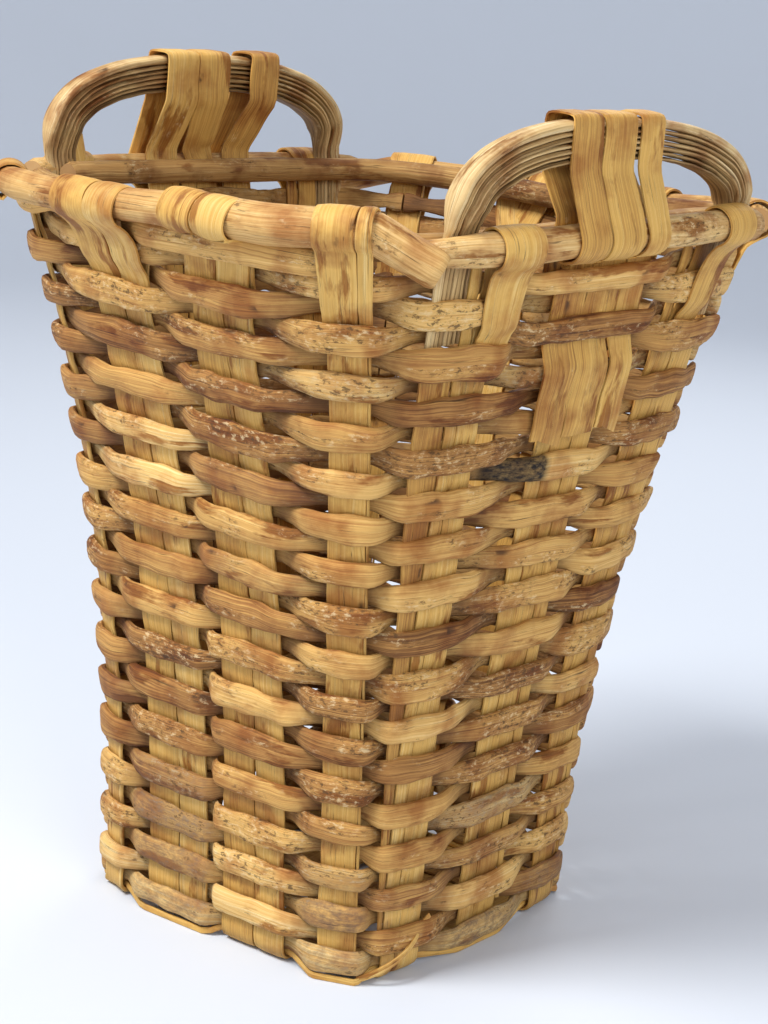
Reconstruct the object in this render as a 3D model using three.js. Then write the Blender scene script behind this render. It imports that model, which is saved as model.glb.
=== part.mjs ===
// A harvest basket of split wood: flat splint stakes that cross under the base and rise up the
// four walls, half-round rods woven over one and under one, a rim of stout rods that the stakes
// fold over, and a handle of bent rods on each of two opposite sides.
// Millimetres, +Z up, origin on the floor at the centre of the base. The handles are on +X and -X.
import * as THREE from "three";

// The wall, measured at the middle of the stakes' thickness.
const BASE_HALF = 147; // half the width of the base
const RIM_HALF = 230; // half the width of the mouth
const RIM_HEIGHT = 575; // floor to the middle of the rim rods
const FLARE_POWER = 2; // 1 would be a straight-sided wall, more opens late
const BASE_SQUARENESS = 6; // powers of the superellipse that the outline follows
const RIM_SQUARENESS = 4.5;
const BASE_TURN = THREE.MathUtils.degToRad(8.5); // the base lies turned against the rim

// The splint stakes. A stake's place on its side runs from -1 at one corner to 1 at the next.
const SPLINT_THICKNESS = 3.2;
const CORNER_STAKE_PLACE = 0.8; // on the sides without a handle
const MIDDLE_STAKE_PLACE = 0.27;
const FLANK_STAKE_PLACE = 0.66; // on the handle sides, at the base
const FLANK_STAKE_RIM_PLACE = 0.5; // they close in on the handle at the rim
const CORNER_STAKE_WIDTH = 30;
const MIDDLE_STAKE_WIDTH = 64;
const FLANK_STAKE_WIDTH = 42;
const FLANK_STAKE_RIM_WIDTH = 29;
const CENTRE_STAKE_WIDTH = 50;
const CENTRE_STAKE_RIM_WIDTH = 38;
const BASE_BEND_RADIUS = 8; // where a splint turns up from the base
const WALL_STRETCHES = 7; // straight stretches of a stake on the curved wall

// The woven rods. Each is tall where it lies on the outside of a stake and slim behind one.
const ROWS = 31;
const FIRST_ROW_HEIGHT = 16;
const TOP_ROW_DROP = 31; // from the middle of the rim rods down to that of the highest row
const ROW_PITCH = (RIM_HEIGHT - FIRST_ROW_HEIGHT - TOP_ROW_DROP) / (ROWS - 1);
const ROD_HALF_DEPTH = 5.5; // of the ellipse that the half-round section is drawn in
const ROD_TALL = ROW_PITCH * (15 / 11);
const ROD_SLIM = ROW_PITCH * (31 / 44);
const ROD_SIDES = 5;
const ROD_END_GAP = 1.4; // between the two ends of a row, behind a stake
const STAKE_EDGE_GAP = 1; // a rod starts to cross the wall this far beside a stake's edge
const FOOT_SPLINT_HEIGHT = 4;
const FOOT_SPLINT_THICKNESS = 3.2;
const FOOT_SPLINT_INSIDE = 6.4; // how far it lies inside the wall where a stake turns under it
const FOOT_SPLINT_LEVEL = 7.45;
const FOOT_SPLINT_EDGE_GAP = 3;

// The rim.
const RIM_ROD_RADIUS = 12;
const RIM_ROD_TIP_RADIUS = 9;
const RIM_ROD_SIDES = 6;
const INNER_HOOP_RADIUS = 10;
const RIM_ROD_START = 16; // a rod of a handle side starts this far beyond its first leg
const RIM_ROD_OVERLAP = 20; // and the rod before it passes below it, up to here
const RIM_ROD_OVERLAP_OUT = 8;
const RIM_ROD_OVERLAP_DROP = 24;
const FOLD_STEP = THREE.MathUtils.degToRad(45); // a splint goes over the rim in flats
const FOLD_TAIL_SHARE = 0.8; // width of the folded-down end, as a share of its stake
const TAIL_BELOW_ROD = 12; // a tucked end shows this far below the middle of the rod that holds it

// The handles.
const HANDLE_RODS = 4;
const HANDLE_ROD_PITCH = 7.6;
const HANDLE_ROD_THICKNESS = 7.2;
const HANDLE_HALF_DEPTH = 11; // across the plane of the arch
const HANDLE_SHOULDER = 0.7; // share of the depth at which the rods' sides slope in
const HANDLE_CROWN_RISE = 77; // from the middle of the rim rods to that of the bundle
const HANDLE_SPRING_RISE = 20; // where the legs start to lean in
const HANDLE_SQUARENESS = 2.4;
const HANDLE_ARCH_STEPS = 10;
const HANDLE_TONGUE_RISE = 17; // the legs are pared to the splints' thickness up to here
const HANDLE_FULL_RISE = 43; // and have their full depth from here
const HANDLE_TONGUE_DROP = 71; // the tongues end this far below the middle of the rim rods
const HANDLE_LEAN = 4; // the crown stands this far outside the feet of the arch
const PLANE_LIFT = 12; // the legs and straps follow the wall this far above the rim's middle
const STRAP_WIDTH = 38;
const STRAP_GAP = 4; // between two straps side by side
const STRAP_INNER_DROP = 35; // the end that is clamped inside the rim hangs this far down
const STRAP_GRIP_BELOW = 22; // a strap leaves the bundle this far below its middle
const STRAP_OUTER_END = 12; // below the middle of the last rod that it covers
const STRAP_CORNER = 3; // its two corners over the bundle are cut this far along the top
const STRAP_CORNER_DROP = 5; // and this far down the sides
const TAIL_CLEAR = 2; // a splint's end bends this far from the edge of a rod
const FOLD_CONTACT = 1; // a fold meets the row that it covers this far above its middle

const GAP = 0.3; // between pieces that lie on each other

const HANDLE_CROWN_HEIGHT = RIM_HEIGHT + HANDLE_CROWN_RISE;
const HANDLE_SPRING_HEIGHT = RIM_HEIGHT + HANDLE_SPRING_RISE;
const HANDLE_TONGUE_TOP = RIM_HEIGHT + HANDLE_TONGUE_RISE;
const HANDLE_FULL_FROM = RIM_HEIGHT + HANDLE_FULL_RISE;
const HANDLE_TONGUE_END = RIM_HEIGHT - HANDLE_TONGUE_DROP;
const STRAP_INNER_END = RIM_HEIGHT - STRAP_INNER_DROP;

const BARK = new THREE.Color("#a97c4b");
const STRAW = new THREE.Color("#cda266");
const WEATHERED = new THREE.Color("#b58a58");

const mix = THREE.MathUtils.lerp;
const UP = new THREE.Vector3(0, 0, 1);
const DOWN = new THREE.Vector3(0, 0, -1);
const basket = new THREE.Group();

function addPiece(name, geometry, colour, roughness = 0.75) {
  const material = new THREE.MeshStandardMaterial({ color: colour, roughness, metalness: 0 });
  const mesh = new THREE.Mesh(geometry, material);
  mesh.name = name;
  basket.add(mesh);
}

// A closed body through a list of rings of points, every ring with the same number of points.
function loft(rings) {
  const sides = rings[0].length;
  const index = [];
  for (let i = 0; i + 1 < rings.length; i++) {
    for (let k = 0; k < sides; k++) {
      const a = i * sides + k;
      const b = i * sides + ((k + 1) % sides);
      index.push(a, b, a + sides, b, b + sides, a + sides);
    }
  }
  const last = (rings.length - 1) * sides;
  for (let k = 1; k + 1 < sides; k++) {
    index.push(0, k + 1, k);
    index.push(last, last + k, last + k + 1);
  }
  const points = rings.flat();
  if (volumeOf(points, index) < 0) index.reverse();
  return new THREE.BufferGeometry().setFromPoints(points).setIndex(index);
}

function volumeOf(points, index) {
  let volume = 0;
  for (let i = 0; i < index.length; i += 3) {
    const [a, b, c] = [points[index[i]], points[index[i + 1]], points[index[i + 2]]];
    volume += a.dot(b.clone().cross(c)) / 6;
  }
  return volume;
}

// A flat splint along a path. Each station has its centre, the direction of its width and its
// width. The thickness is mitred at each bend.
function ribbon(stations, thickness = SPLINT_THICKNESS) {
  const heading = (from, to) => to.centre.clone().sub(from.centre).normalize();
  const rings = stations.map((station, i) => {
    const before = heading(stations[Math.max(i - 1, 0)], stations[Math.max(i, 1)]);
    const next = Math.min(i + 1, stations.length - 1);
    const after = heading(stations[next - 1], stations[next]);
    const along = before.clone().add(after).normalize();
    const mitre = 1 / Math.max(along.dot(after), 0.7);
    const across = station.across.clone().multiplyScalar(station.width / 2);
    const face = along.cross(station.across).normalize().multiplyScalar((thickness / 2) * mitre);
    return [
      station.centre.clone().add(across).add(face),
      station.centre.clone().sub(across).add(face),
      station.centre.clone().sub(across).sub(face),
      station.centre.clone().add(across).sub(face),
    ];
  });
  return loft(rings);
}

// The rings of a rod: each station has a centre, the directions out and up, and a section.
function rod(stations) {
  return loft(
    stations.map(({ centre, out, up, section }) =>
      section.map(([n, v]) => centre.clone().addScaledVector(out, n).addScaledVector(up, v)),
    ),
  );
}

function ovalSection(halfDepth, height, sides) {
  return Array.from({ length: sides }, (_, i) => {
    const angle = (2 * Math.PI * i) / sides;
    return [halfDepth * Math.cos(angle), (height / 2) * Math.sin(angle)];
  });
}

// The wall's shape.
const rise = (z) => THREE.MathUtils.clamp(z / RIM_HEIGHT, 0, 1.1);
const halfWidth = (z) => mix(BASE_HALF, RIM_HALF, rise(z) ** FLARE_POWER);
const squareness = (z) => mix(BASE_SQUARENESS, RIM_SQUARENESS, rise(z));
const turn = (z) => BASE_TURN * (1 - rise(z));

function wallPoint(side, place, z) {
  const power = squareness(z);
  const depth = (1 - Math.abs(place) ** power) ** (1 / power);
  const point = new THREE.Vector3(place, -depth, 0).multiplyScalar(halfWidth(z)).setZ(z);
  return point.applyAxisAngle(UP, (side * Math.PI) / 2 + turn(z));
}

// The middle line of a stake on the wall, as the ends of its straight stretches.
function stakeLine(stake) {
  const bottom = baseLevel(stake) + BASE_BEND_RADIUS;
  const nudge = 0.01;
  return Array.from({ length: WALL_STRETCHES + 1 }, (_, i) => {
    const z = mix(bottom, RIM_HEIGHT, i / WALL_STRETCHES);
    const place = stake.place(z);
    const along = wallPoint(stake.side, place + nudge, z)
      .sub(wallPoint(stake.side, place - nudge, z))
      .normalize();
    return { centre: wallPoint(stake.side, place, z), along, width: stake.width(z) };
  });
}

// Directions on a stake: along the wall to the right seen from outside, up its slope, and out.
function wallFrame(stake, z) {
  const bottom = stake.line[0].centre.z;
  const stretch = ((z - bottom) / (RIM_HEIGHT - bottom)) * WALL_STRETCHES;
  const i = THREE.MathUtils.clamp(Math.floor(stretch), 0, WALL_STRETCHES - 1);
  const [from, to] = [stake.line[i], stake.line[i + 1]];
  const origin = from.centre.clone().lerp(to.centre, stretch - i);
  const along = from.along.clone().lerp(to.along, stretch - i).normalize();
  const out = along.clone().cross(to.centre.clone().sub(from.centre)).normalize();
  return { origin, along, up: out.clone().cross(along), out };
}

function onWall(frame, sideways, outward, upward = 0) {
  return frame.origin
    .clone()
    .addScaledVector(frame.along, sideways)
    .addScaledVector(frame.out, outward)
    .addScaledVector(frame.up, upward);
}

// The fourteen stakes, numbered round the basket. Front and back have four, the handle sides three.
const SIDE_NAMES = ["front", "right", "back", "left"];
const stakes = [];
for (let side = 0; side < SIDE_NAMES.length; side++) {
  const hasHandle = side % 2 === 1;
  const places = hasHandle
    ? [-FLANK_STAKE_PLACE, 0, FLANK_STAKE_PLACE]
    : [-CORNER_STAKE_PLACE, -MIDDLE_STAKE_PLACE, MIDDLE_STAKE_PLACE, CORNER_STAKE_PLACE];
  places.forEach((basePlace, i) => {
    const isFirst = i === 0;
    const isLast = i === places.length - 1;
    const isFlank = hasHandle && (isFirst || isLast);
    const isCentre = hasHandle && !isFlank;
    let widths = [MIDDLE_STAKE_WIDTH, MIDDLE_STAKE_WIDTH];
    if (isFlank) widths = [FLANK_STAKE_WIDTH, FLANK_STAKE_RIM_WIDTH];
    else if (isCentre) widths = [CENTRE_STAKE_WIDTH, CENTRE_STAKE_RIM_WIDTH];
    else if (isFirst || isLast) widths = [CORNER_STAKE_WIDTH, CORNER_STAKE_WIDTH];
    const rimPlace = isFlank ? Math.sign(basePlace) * FLANK_STAKE_RIM_PLACE : basePlace;
    stakes.push({
      number: stakes.length,
      side,
      isFirst,
      isLast,
      isFlank,
      isCentre,
      place: (z) => mix(basePlace, rimPlace, rise(z)),
      width: (z) => mix(widths[0], widths[1], rise(z)),
    });
  });
}

const TOP_ROW = ROWS - 1;
const rowHeight = (row) => FIRST_ROW_HEIGHT + row * ROW_PITCH;
const liesOutside = (row, stake) => (row + stake.number) % 2 === 1;

// The highest row that covers each stake, and the row below it that holds the folded end.
const coveredRow = (stake) => (liesOutside(TOP_ROW, stake) ? TOP_ROW : TOP_ROW - 1);
const holdingRow = (stake) => coveredRow(stake) - 2;

// The straps over a handle go under the two highest rows that cover their stake.
const strapHoldingRows = (stake) => [coveredRow(stake), coveredRow(stake) - 2];
const STRAP_STEP = (CENTRE_STAKE_RIM_WIDTH + STRAP_WIDTH) / 2 + STRAP_GAP;
const STRAPS_HALF_SPAN = STRAP_STEP + STRAP_WIDTH / 2;
const goesRoundStraps = (stake, row) => row >= strapHoldingRows(stake)[1] - 1;
const LEG_ROWS_FROM = TOP_ROW - 2; // rows that hold the handles' legs
const LEG_WIDTH = (HANDLE_RODS - 1) * HANDLE_ROD_PITCH + HANDLE_ROD_THICKNESS;

// In the base the splints are woven too. Those that the first row covers run high there.
const LOW_LEVEL = SPLINT_THICKNESS / 2;
const HIGH_LEVEL = LOW_LEVEL + SPLINT_THICKNESS + GAP;
const baseLevel = (stake) => (liesOutside(0, stake) ? HIGH_LEVEL : LOW_LEVEL);
for (const stake of stakes) stake.line = stakeLine(stake);

// How far from a stake's middle a row stays flat, before it and after it.
function reaches(stake, row) {
  const half = stake.width(rowHeight(row)) / 2;
  const flat = stake.isCentre && goesRoundStraps(stake, row) ? STRAPS_HALF_SPAN : half;
  const leg = stake.isFlank && row >= LEG_ROWS_FROM ? GAP + LEG_WIDTH : 0;
  return {
    before: flat + (stake.isFirst ? leg : 0) + STAKE_EDGE_GAP,
    after: flat + (stake.isLast ? leg : 0) + STAKE_EDGE_GAP,
  };
}

const isTucked = (stake, row) =>
  stake.isCentre ? strapHoldingRows(stake).includes(row) : holdingRow(stake) === row;

// How far a row's middle lies out of the middle of the stake's thickness.
const FLAT_SIDE = ROD_HALF_DEPTH * Math.cos(Math.PI / ROD_SIDES); // the section's flat inner face
const LAYER = SPLINT_THICKNESS + GAP;
function rodOffset(stake, row) {
  const onSplint = SPLINT_THICKNESS / 2 + GAP;
  if (!liesOutside(row, stake)) return -(ROD_HALF_DEPTH + onSplint);
  return FLAT_SIDE + onSplint + (isTucked(stake, row) ? LAYER : 0);
}

// Once round the basket from behind one stake, with both ends meeting there.
function roundStations(firstStake, frameHeight, seatOf, sectionOf) {
  const stations = [];
  for (let i = 0; i <= stakes.length; i++) {
    const stake = stakes[(firstStake.number + i) % stakes.length];
    const { before, after, offset } = seatOf(stake);
    const frame = wallFrame(stake, frameHeight(stake));
    const from = i === 0 ? ROD_END_GAP / 2 : -before;
    const to = i === stakes.length ? -ROD_END_GAP / 2 : after;
    for (const sideways of [from, to])
      stations.push({
        centre: onWall(frame, sideways, offset),
        out: frame.out,
        up: frame.up,
        section: sectionOf(stake),
      });
  }
  return stations;
}

function weaverStations(row) {
  const tall = ovalSection(ROD_HALF_DEPTH, ROD_TALL, ROD_SIDES);
  const slim = ovalSection(ROD_HALF_DEPTH, ROD_SLIM, ROD_SIDES);
  const behind = stakes.filter((s) => !liesOutside(row, s));
  const endStake = behind[(row >> 1) % behind.length];
  return roundStations(
    endStake,
    () => rowHeight(row),
    (stake) => ({ ...reaches(stake, row), offset: rodOffset(stake, row) }),
    (stake) => (liesOutside(row, stake) ? tall : slim),
  );
}

for (let row = 0; row < ROWS; row++) {
  const number = String(row + 1).padStart(2, "0");
  addPiece("weaver_row_" + number, rod(weaverStations(row)), row % 3 ? BARK : WEATHERED);
}

// A thin splint is woven in below the first row, round the foot of the basket.
function footStations() {
  const section = [
    [1, 1],
    [-1, 1],
    [-1, -1],
    [1, -1],
  ].map(([n, v]) => [(n * FOOT_SPLINT_THICKNESS) / 2, (v * FOOT_SPLINT_HEIGHT) / 2]);
  const outside = (SPLINT_THICKNESS + FOOT_SPLINT_THICKNESS) / 2 + GAP;
  const edge = (stake) => stake.width(0) / 2 + FOOT_SPLINT_EDGE_GAP;
  return roundStations(
    stakes.find((s) => !liesOutside(0, s)),
    (stake) => (liesOutside(0, stake) ? FOOT_SPLINT_HEIGHT / 2 + GAP : FOOT_SPLINT_LEVEL),
    (stake) => ({
      before: edge(stake),
      after: edge(stake),
      offset: liesOutside(0, stake) ? outside : -FOOT_SPLINT_INSIDE,
    }),
    () => section,
  );
}
addPiece("foot_splint", rod(footStations()), WEATHERED);

// The splints. Each is one piece from a folded end on one side, down the wall, under the base
// and up the wall opposite.
const RIM_ROD_OFFSET = RIM_ROD_RADIUS + GAP + SPLINT_THICKNESS / 2;
const FOLD_RADIUS = (RIM_ROD_RADIUS + GAP) / Math.cos(FOLD_STEP / 2) + SPLINT_THICKNESS / 2;

function bendStations(stake) {
  const [bottom] = stake.line;
  const inward = new THREE.Vector3(0, 1, 0).applyAxisAngle(
    UP,
    (stake.side * Math.PI) / 2 + BASE_TURN,
  );
  const baseAcross = inward.clone().cross(UP);
  const half = Math.PI / 4;
  return [2 * half, half].map((angle) => ({
    centre: bottom.centre
      .clone()
      .addScaledVector(inward, BASE_BEND_RADIUS * (1 - Math.cos(angle)))
      .addScaledVector(DOWN, BASE_BEND_RADIUS * Math.sin(angle)),
    across: bottom.along.clone().lerp(baseAcross, (angle / (2 * half)) ** 2).normalize(),
    width: bottom.width,
  }));
}

const wallStations = (stake) =>
  stake.line.map(({ centre, along, width }) => ({ centre, across: along, width }));

// A point of a splint's end on the outside of the wall.
function tailStation(stake, sideways, outward, z, width) {
  const frame = wallFrame(stake, z);
  return { centre: onWall(frame, sideways, outward), across: frame.along, width };
}

// A straight run of it that follows the wall's own bends.
function tailRun(stake, sideways, outward, fromZ, toZ, width) {
  const bends = stake.line.map(({ centre }) => centre.z).filter((z) => z < fromZ && z > toZ);
  return [fromZ, ...bends.reverse(), toZ].map((z) =>
    tailStation(stake, sideways, outward, z, width),
  );
}

const rowSurface = (stake, row) =>
  rodOffset(stake, row) + ROD_HALF_DEPTH + GAP + SPLINT_THICKNESS / 2;

// A point of a splint where it goes round the outer rim rod. Zero degrees faces outward.
function rimStation(stake, sideways, degrees, width) {
  const frame = wallFrame(stake, RIM_HEIGHT);
  const angle = THREE.MathUtils.degToRad(degrees);
  const outward = RIM_ROD_OFFSET + FOLD_RADIUS * Math.cos(angle);
  return {
    centre: onWall(frame, sideways, outward, FOLD_RADIUS * Math.sin(angle)),
    across: frame.along,
    width,
  };
}

// Over the rim rod and down outside, over one row and under the next.
const HALF_TALL = ROD_TALL / 2;
function foldStations(stake) {
  const width = stake.width(RIM_HEIGHT) * FOLD_TAIL_SHARE;
  const covered = rowHeight(coveredRow(stake));
  const holding = rowHeight(holdingRow(stake));
  const over = rowSurface(stake, coveredRow(stake));
  const tail = (outward, z) => tailStation(stake, 0, outward, z, width);
  return [
    tail(0, RIM_HEIGHT + GAP),
    ...[135, 90, 45, 0, -30].map((degrees) => rimStation(stake, 0, degrees, width)),
    tail(over, covered + FOLD_CONTACT),
    tail(over, covered - HALF_TALL + TAIL_CLEAR),
    ...tailRun(stake, 0, LAYER, holding + HALF_TALL + TAIL_CLEAR, holding - TAIL_BELOW_ROD, width),
  ];
}

// The handle stands upright in a plane through its two legs, a little outside them at the crown.
function handlePlane(side) {
  const outward = new THREE.Vector3(0, -1, 0).applyAxisAngle(UP, (side * Math.PI) / 2);
  const flanks = stakes.filter((s) => s.side === side && s.isFlank);
  const [before, after] = flanks.map((stake) => {
    const sideways = (stake.isFirst ? -1 : 1) * legMiddle(stake, RIM_HEIGHT);
    return onWall(wallFrame(stake, RIM_HEIGHT), sideways, 0, PLANE_LIFT);
  });
  return {
    outward,
    along: UP.clone().cross(outward),
    origin: before.clone().lerp(after, 0.5),
    halfSpan: before.distanceTo(after) / 2,
    lean: (z) =>
      (HANDLE_LEAN * (z - HANDLE_SPRING_HEIGHT)) / (HANDLE_CROWN_HEIGHT - HANDLE_SPRING_HEIGHT),
  };
}

// The middle of a leg, from the middle of the flank stake that it stands beside.
const legMiddle = (stake, z) => stake.width(z) / 2 + GAP + LEG_WIDTH / 2;

// From inside the rim up over the handle, down over the rim rod and into the weave.
function strapStations(stake, sideways, width) {
  const plane = handlePlane(stake.side);
  const station = (outward, z) => ({
    centre: plane.origin
      .clone()
      .addScaledVector(plane.along, sideways)
      .addScaledVector(plane.outward, outward + plane.lean(HANDLE_CROWN_HEIGHT))
      .setZ(z),
    across: plane.along,
    width,
  });
  const onHandle = GAP + SPLINT_THICKNESS / 2;
  const around = HANDLE_HALF_DEPTH + onHandle;
  const grip = HANDLE_CROWN_HEIGHT - STRAP_GRIP_BELOW;
  const top = HANDLE_CROWN_HEIGHT + LEG_WIDTH / 2 + onHandle;
  const tail = (outward, z) => tailStation(stake, sideways, outward, z, width);
  const [first, second] = strapHoldingRows(stake);
  const gripTop = rowHeight(first) + HALF_TALL + TAIL_CLEAR;
  const over = rowSurface(stake, second - 2);
  return [
    { ...station(0, 0), centre: onWall(wallFrame(stake, RIM_HEIGHT), sideways, 0, PLANE_LIFT) },
    station(-around, grip),
    station(-around, top - STRAP_CORNER_DROP),
    station(-around + STRAP_CORNER, top),
    station(around - STRAP_CORNER, top),
    station(around, top - STRAP_CORNER_DROP),
    station(around, grip),
    ...[20, -25, -70].map((degrees) => rimStation(stake, sideways, degrees, width)),
    ...tailRun(stake, sideways, LAYER, gripTop, rowHeight(second) - HALF_TALL, width),
    tail(over, rowHeight(second - 2) + HALF_TALL - STRAP_CORNER),
    tail(over, rowHeight(second - 4) - STRAP_OUTER_END),
  ];
}

function stakeRun(stake) {
  const above = stake.isCentre
    ? strapStations(stake, 0, CENTRE_STAKE_RIM_WIDTH)
    : foldStations(stake);
  return [...bendStations(stake), ...wallStations(stake), ...above];
}

// Between its two bends a splint steps down and up as it passes the splints that cross it.
const CROSSING_MARGIN = 1.4;
function baseStations(from, to, crossings) {
  const [start] = bendStations(from);
  const [end] = bendStations(to);
  const middle = start.centre.clone().lerp(end.centre, 0.5);
  const heading = end.centre.clone().sub(start.centre).setZ(0).normalize();
  return crossings.flatMap(({ place, width }, i) => {
    const startsHigh = baseLevel(from) === HIGH_LEVEL;
    const level = startsHigh === (i % 2 === 0) ? HIGH_LEVEL : LOW_LEVEL;
    const half = width / 2 + CROSSING_MARGIN;
    return [place - half, place + half].map((distance) => ({
      centre: middle.clone().addScaledVector(heading, distance).setZ(level),
      across: start.across,
      width: start.width,
    }));
  });
}

// Where the splints from one side lie across the base, in the order they are met.
const basePlaces = (side) =>
  stakes
    .filter((s) => s.side === side)
    .map((s) => ({ place: s.place(0) * BASE_HALF, width: s.width(0) }));

function baseSplint(from, to) {
  const turned = (run) => run.map((s) => ({ ...s, across: s.across.clone().negate() }));
  return ribbon([
    ...stakeRun(from).reverse(),
    ...baseStations(from, to, basePlaces((from.side + 1) % 4)),
    ...turned(stakeRun(to)),
  ]);
}

for (const [fromSide, course] of [
  [0, "front_to_back"],
  [3, "handle_to_handle"],
]) {
  const starts = stakes.filter((s) => s.side === fromSide);
  const ends = stakes.filter((s) => s.side === (fromSide + 2) % 4).reverse();
  starts.forEach((start, i) => {
    addPiece("splint_" + course + "_" + (i + 1), baseSplint(start, ends[i]), STRAW, 0.65);
  });
}

// The outer rim rods, one a side. Those of the front and back run on below the next rod's start.
function rimRodStations(side) {
  const full = ovalSection(RIM_ROD_RADIUS, 2 * RIM_ROD_RADIUS, RIM_ROD_SIDES);
  const tip = ovalSection(RIM_ROD_TIP_RADIUS, 2 * RIM_ROD_TIP_RADIUS, RIM_ROD_SIDES);
  const own = stakes.filter((s) => s.side === side);
  const next = stakes.find((s) => s.side === (side + 1) % 4);
  const hasHandle = own.some((s) => s.isCentre);
  const stations = [];
  const add = (stake, sideways, section, outward = 0, upward = 0) => {
    const { origin, along, out, up } = wallFrame(stake, RIM_HEIGHT);
    const centre = onWall({ origin, along, out, up }, sideways, RIM_ROD_OFFSET + outward, upward);
    stations.push({ centre, out, up, section });
  };
  for (const stake of own) {
    const { before, after } = reaches(stake, TOP_ROW);
    if (stake.isFirst) add(stake, -before - RIM_ROD_START, hasHandle ? tip : full);
    add(stake, -before, full);
    add(stake, after, full);
    if (stake.isLast && hasHandle) add(stake, after + RIM_ROD_START, full);
  }
  if (!hasHandle) {
    const beyond = reaches(next, TOP_ROW).before + RIM_ROD_OVERLAP;
    add(next, -beyond, tip, RIM_ROD_OVERLAP_OUT, -RIM_ROD_OVERLAP_DROP);
  }
  return stations;
}

SIDE_NAMES.forEach((sideName, side) => {
  addPiece("rim_rod_" + sideName, rod(rimRodStations(side)), BARK);
});

// The inner hoop: two rods, each round half of the mouth.
function innerHoopStations(firstSide) {
  const section = ovalSection(INNER_HOOP_RADIUS, 2 * INNER_HOOP_RADIUS, RIM_ROD_SIDES);
  const offset = -(INNER_HOOP_RADIUS + GAP + SPLINT_THICKNESS / 2);
  const half = stakes.filter((s) => s.side === firstSide || s.side === firstSide + 1);
  return half.flatMap((stake) => {
    const { origin, along, out, up } = wallFrame(stake, RIM_HEIGHT);
    const { before, after } = reaches(stake, TOP_ROW);
    return [-before, after].map((sideways) => ({
      centre: onWall({ origin, along, out, up }, sideways, offset),
      out,
      up,
      section,
    }));
  });
}
addPiece("inner_rim_rod_1", rod(innerHoopStations(0)), BARK);
addPiece("inner_rim_rod_2", rod(innerHoopStations(2)), BARK);

// A handle: rods bent one inside the other into a flat arch. Each leg stands beside a flank
// stake, and is pared to a tongue that the top rows hold. The bundle's middle line comes first.
function handleLine(side) {
  const plane = handlePlane(side);
  const flanks = stakes.filter((s) => s.side === side && s.isFlank);
  const [before, after] = flanks.map((stake) => {
    const way = stake.isFirst ? -1 : 1;
    const point = (z, lift, depth) => {
      const frame = wallFrame(stake, z);
      const centre = onWall(frame, way * legMiddle(stake, z), 0, lift);
      return { centre, depth: depth ?? frame.out };
    };
    return [
      point(HANDLE_TONGUE_END, 0),
      point(RIM_HEIGHT, 0),
      point(RIM_HEIGHT, PLANE_LIFT, plane.outward),
    ];
  });
  const bent = (v) => Math.sign(v) * Math.abs(v) ** (2 / HANDLE_SQUARENESS);
  const arch = Array.from({ length: HANDLE_ARCH_STEPS + 1 }, (_, i) => {
    const angle = Math.PI * (1 - i / HANDLE_ARCH_STEPS);
    const z = mix(HANDLE_SPRING_HEIGHT, HANDLE_CROWN_HEIGHT, bent(Math.sin(angle)));
    const centre = plane.origin
      .clone()
      .addScaledVector(plane.along, plane.halfSpan * bent(Math.cos(angle)))
      .addScaledVector(plane.outward, plane.lean(z))
      .setZ(z);
    return { centre, depth: plane.outward };
  });
  return [...before, ...arch, ...after.reverse()];
}

function handleRodStations(line, rodNumber) {
  const half = HANDLE_ROD_THICKNESS / 2;
  const offset = (rodNumber - (HANDLE_RODS - 1) / 2) * HANDLE_ROD_PITCH;
  return line.map(({ centre, depth }, i) => {
    const before = line[Math.max(i - 1, 0)].centre;
    const after = line[Math.min(i + 1, line.length - 1)].centre;
    const arriving = centre.clone().sub(before).normalize();
    const leaving = after.clone().sub(centre).normalize();
    const along = arriving.clone().add(leaving).normalize();
    const mitre = 1 / along.dot(i === 0 ? leaving : arriving);
    const outward = depth.clone().cross(along).normalize().multiplyScalar(mitre);
    const share = (centre.z - HANDLE_TONGUE_TOP) / (HANDLE_FULL_FROM - HANDLE_TONGUE_TOP);
    const taper = THREE.MathUtils.clamp(share, 0, 1);
    const deep = mix(SPLINT_THICKNESS / 2, HANDLE_HALF_DEPTH, taper);
    const shoulder = deep * HANDLE_SHOULDER;
    return {
      centre: centre.clone().addScaledVector(outward, offset),
      out: outward,
      up: depth,
      section: [
        [half, shoulder],
        [0, deep],
        [-half, shoulder],
        [-half, -shoulder],
        [0, -deep],
        [half, -shoulder],
      ],
    };
  });
}

for (const side of [1, 3]) {
  const handleName = "handle_" + SIDE_NAMES[side];
  const line = handleLine(side);
  for (let i = 0; i < HANDLE_RODS; i++)
    addPiece(handleName + "_rod_" + (i + 1), rod(handleRodStations(line, i)), BARK, 0.6);
  const centre = stakes.find((s) => s.side === side && s.isCentre);
  for (const [name, sideways] of [
    ["_strap_before", -STRAP_STEP],
    ["_strap_after", STRAP_STEP],
  ]) {
    const innerEnd = [STRAP_INNER_END, RIM_HEIGHT].map((z) =>
      tailStation(centre, sideways, 0, z, STRAP_WIDTH),
    );
    const stations = [...innerEnd, ...strapStations(centre, sideways, STRAP_WIDTH)];
    addPiece(handleName + name, ribbon(stations), STRAW, 0.65);
  }
}

export default basket;
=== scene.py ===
# %% [markdown]
# # A harvest basket of split wood
# The basket is woven from three kinds of wood: flat splints that cross under the base and
# stand as stakes, half-round rods woven round them, and stout rods for the rim and handles.
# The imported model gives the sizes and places. Each of its pieces is replaced here by one
# with rounded, uneven wood, and everything stays in the same frame, in metres.

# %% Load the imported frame
import math
from functools import partial

import bpy
import numpy as np
from mathutils import Matrix, Vector


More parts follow.
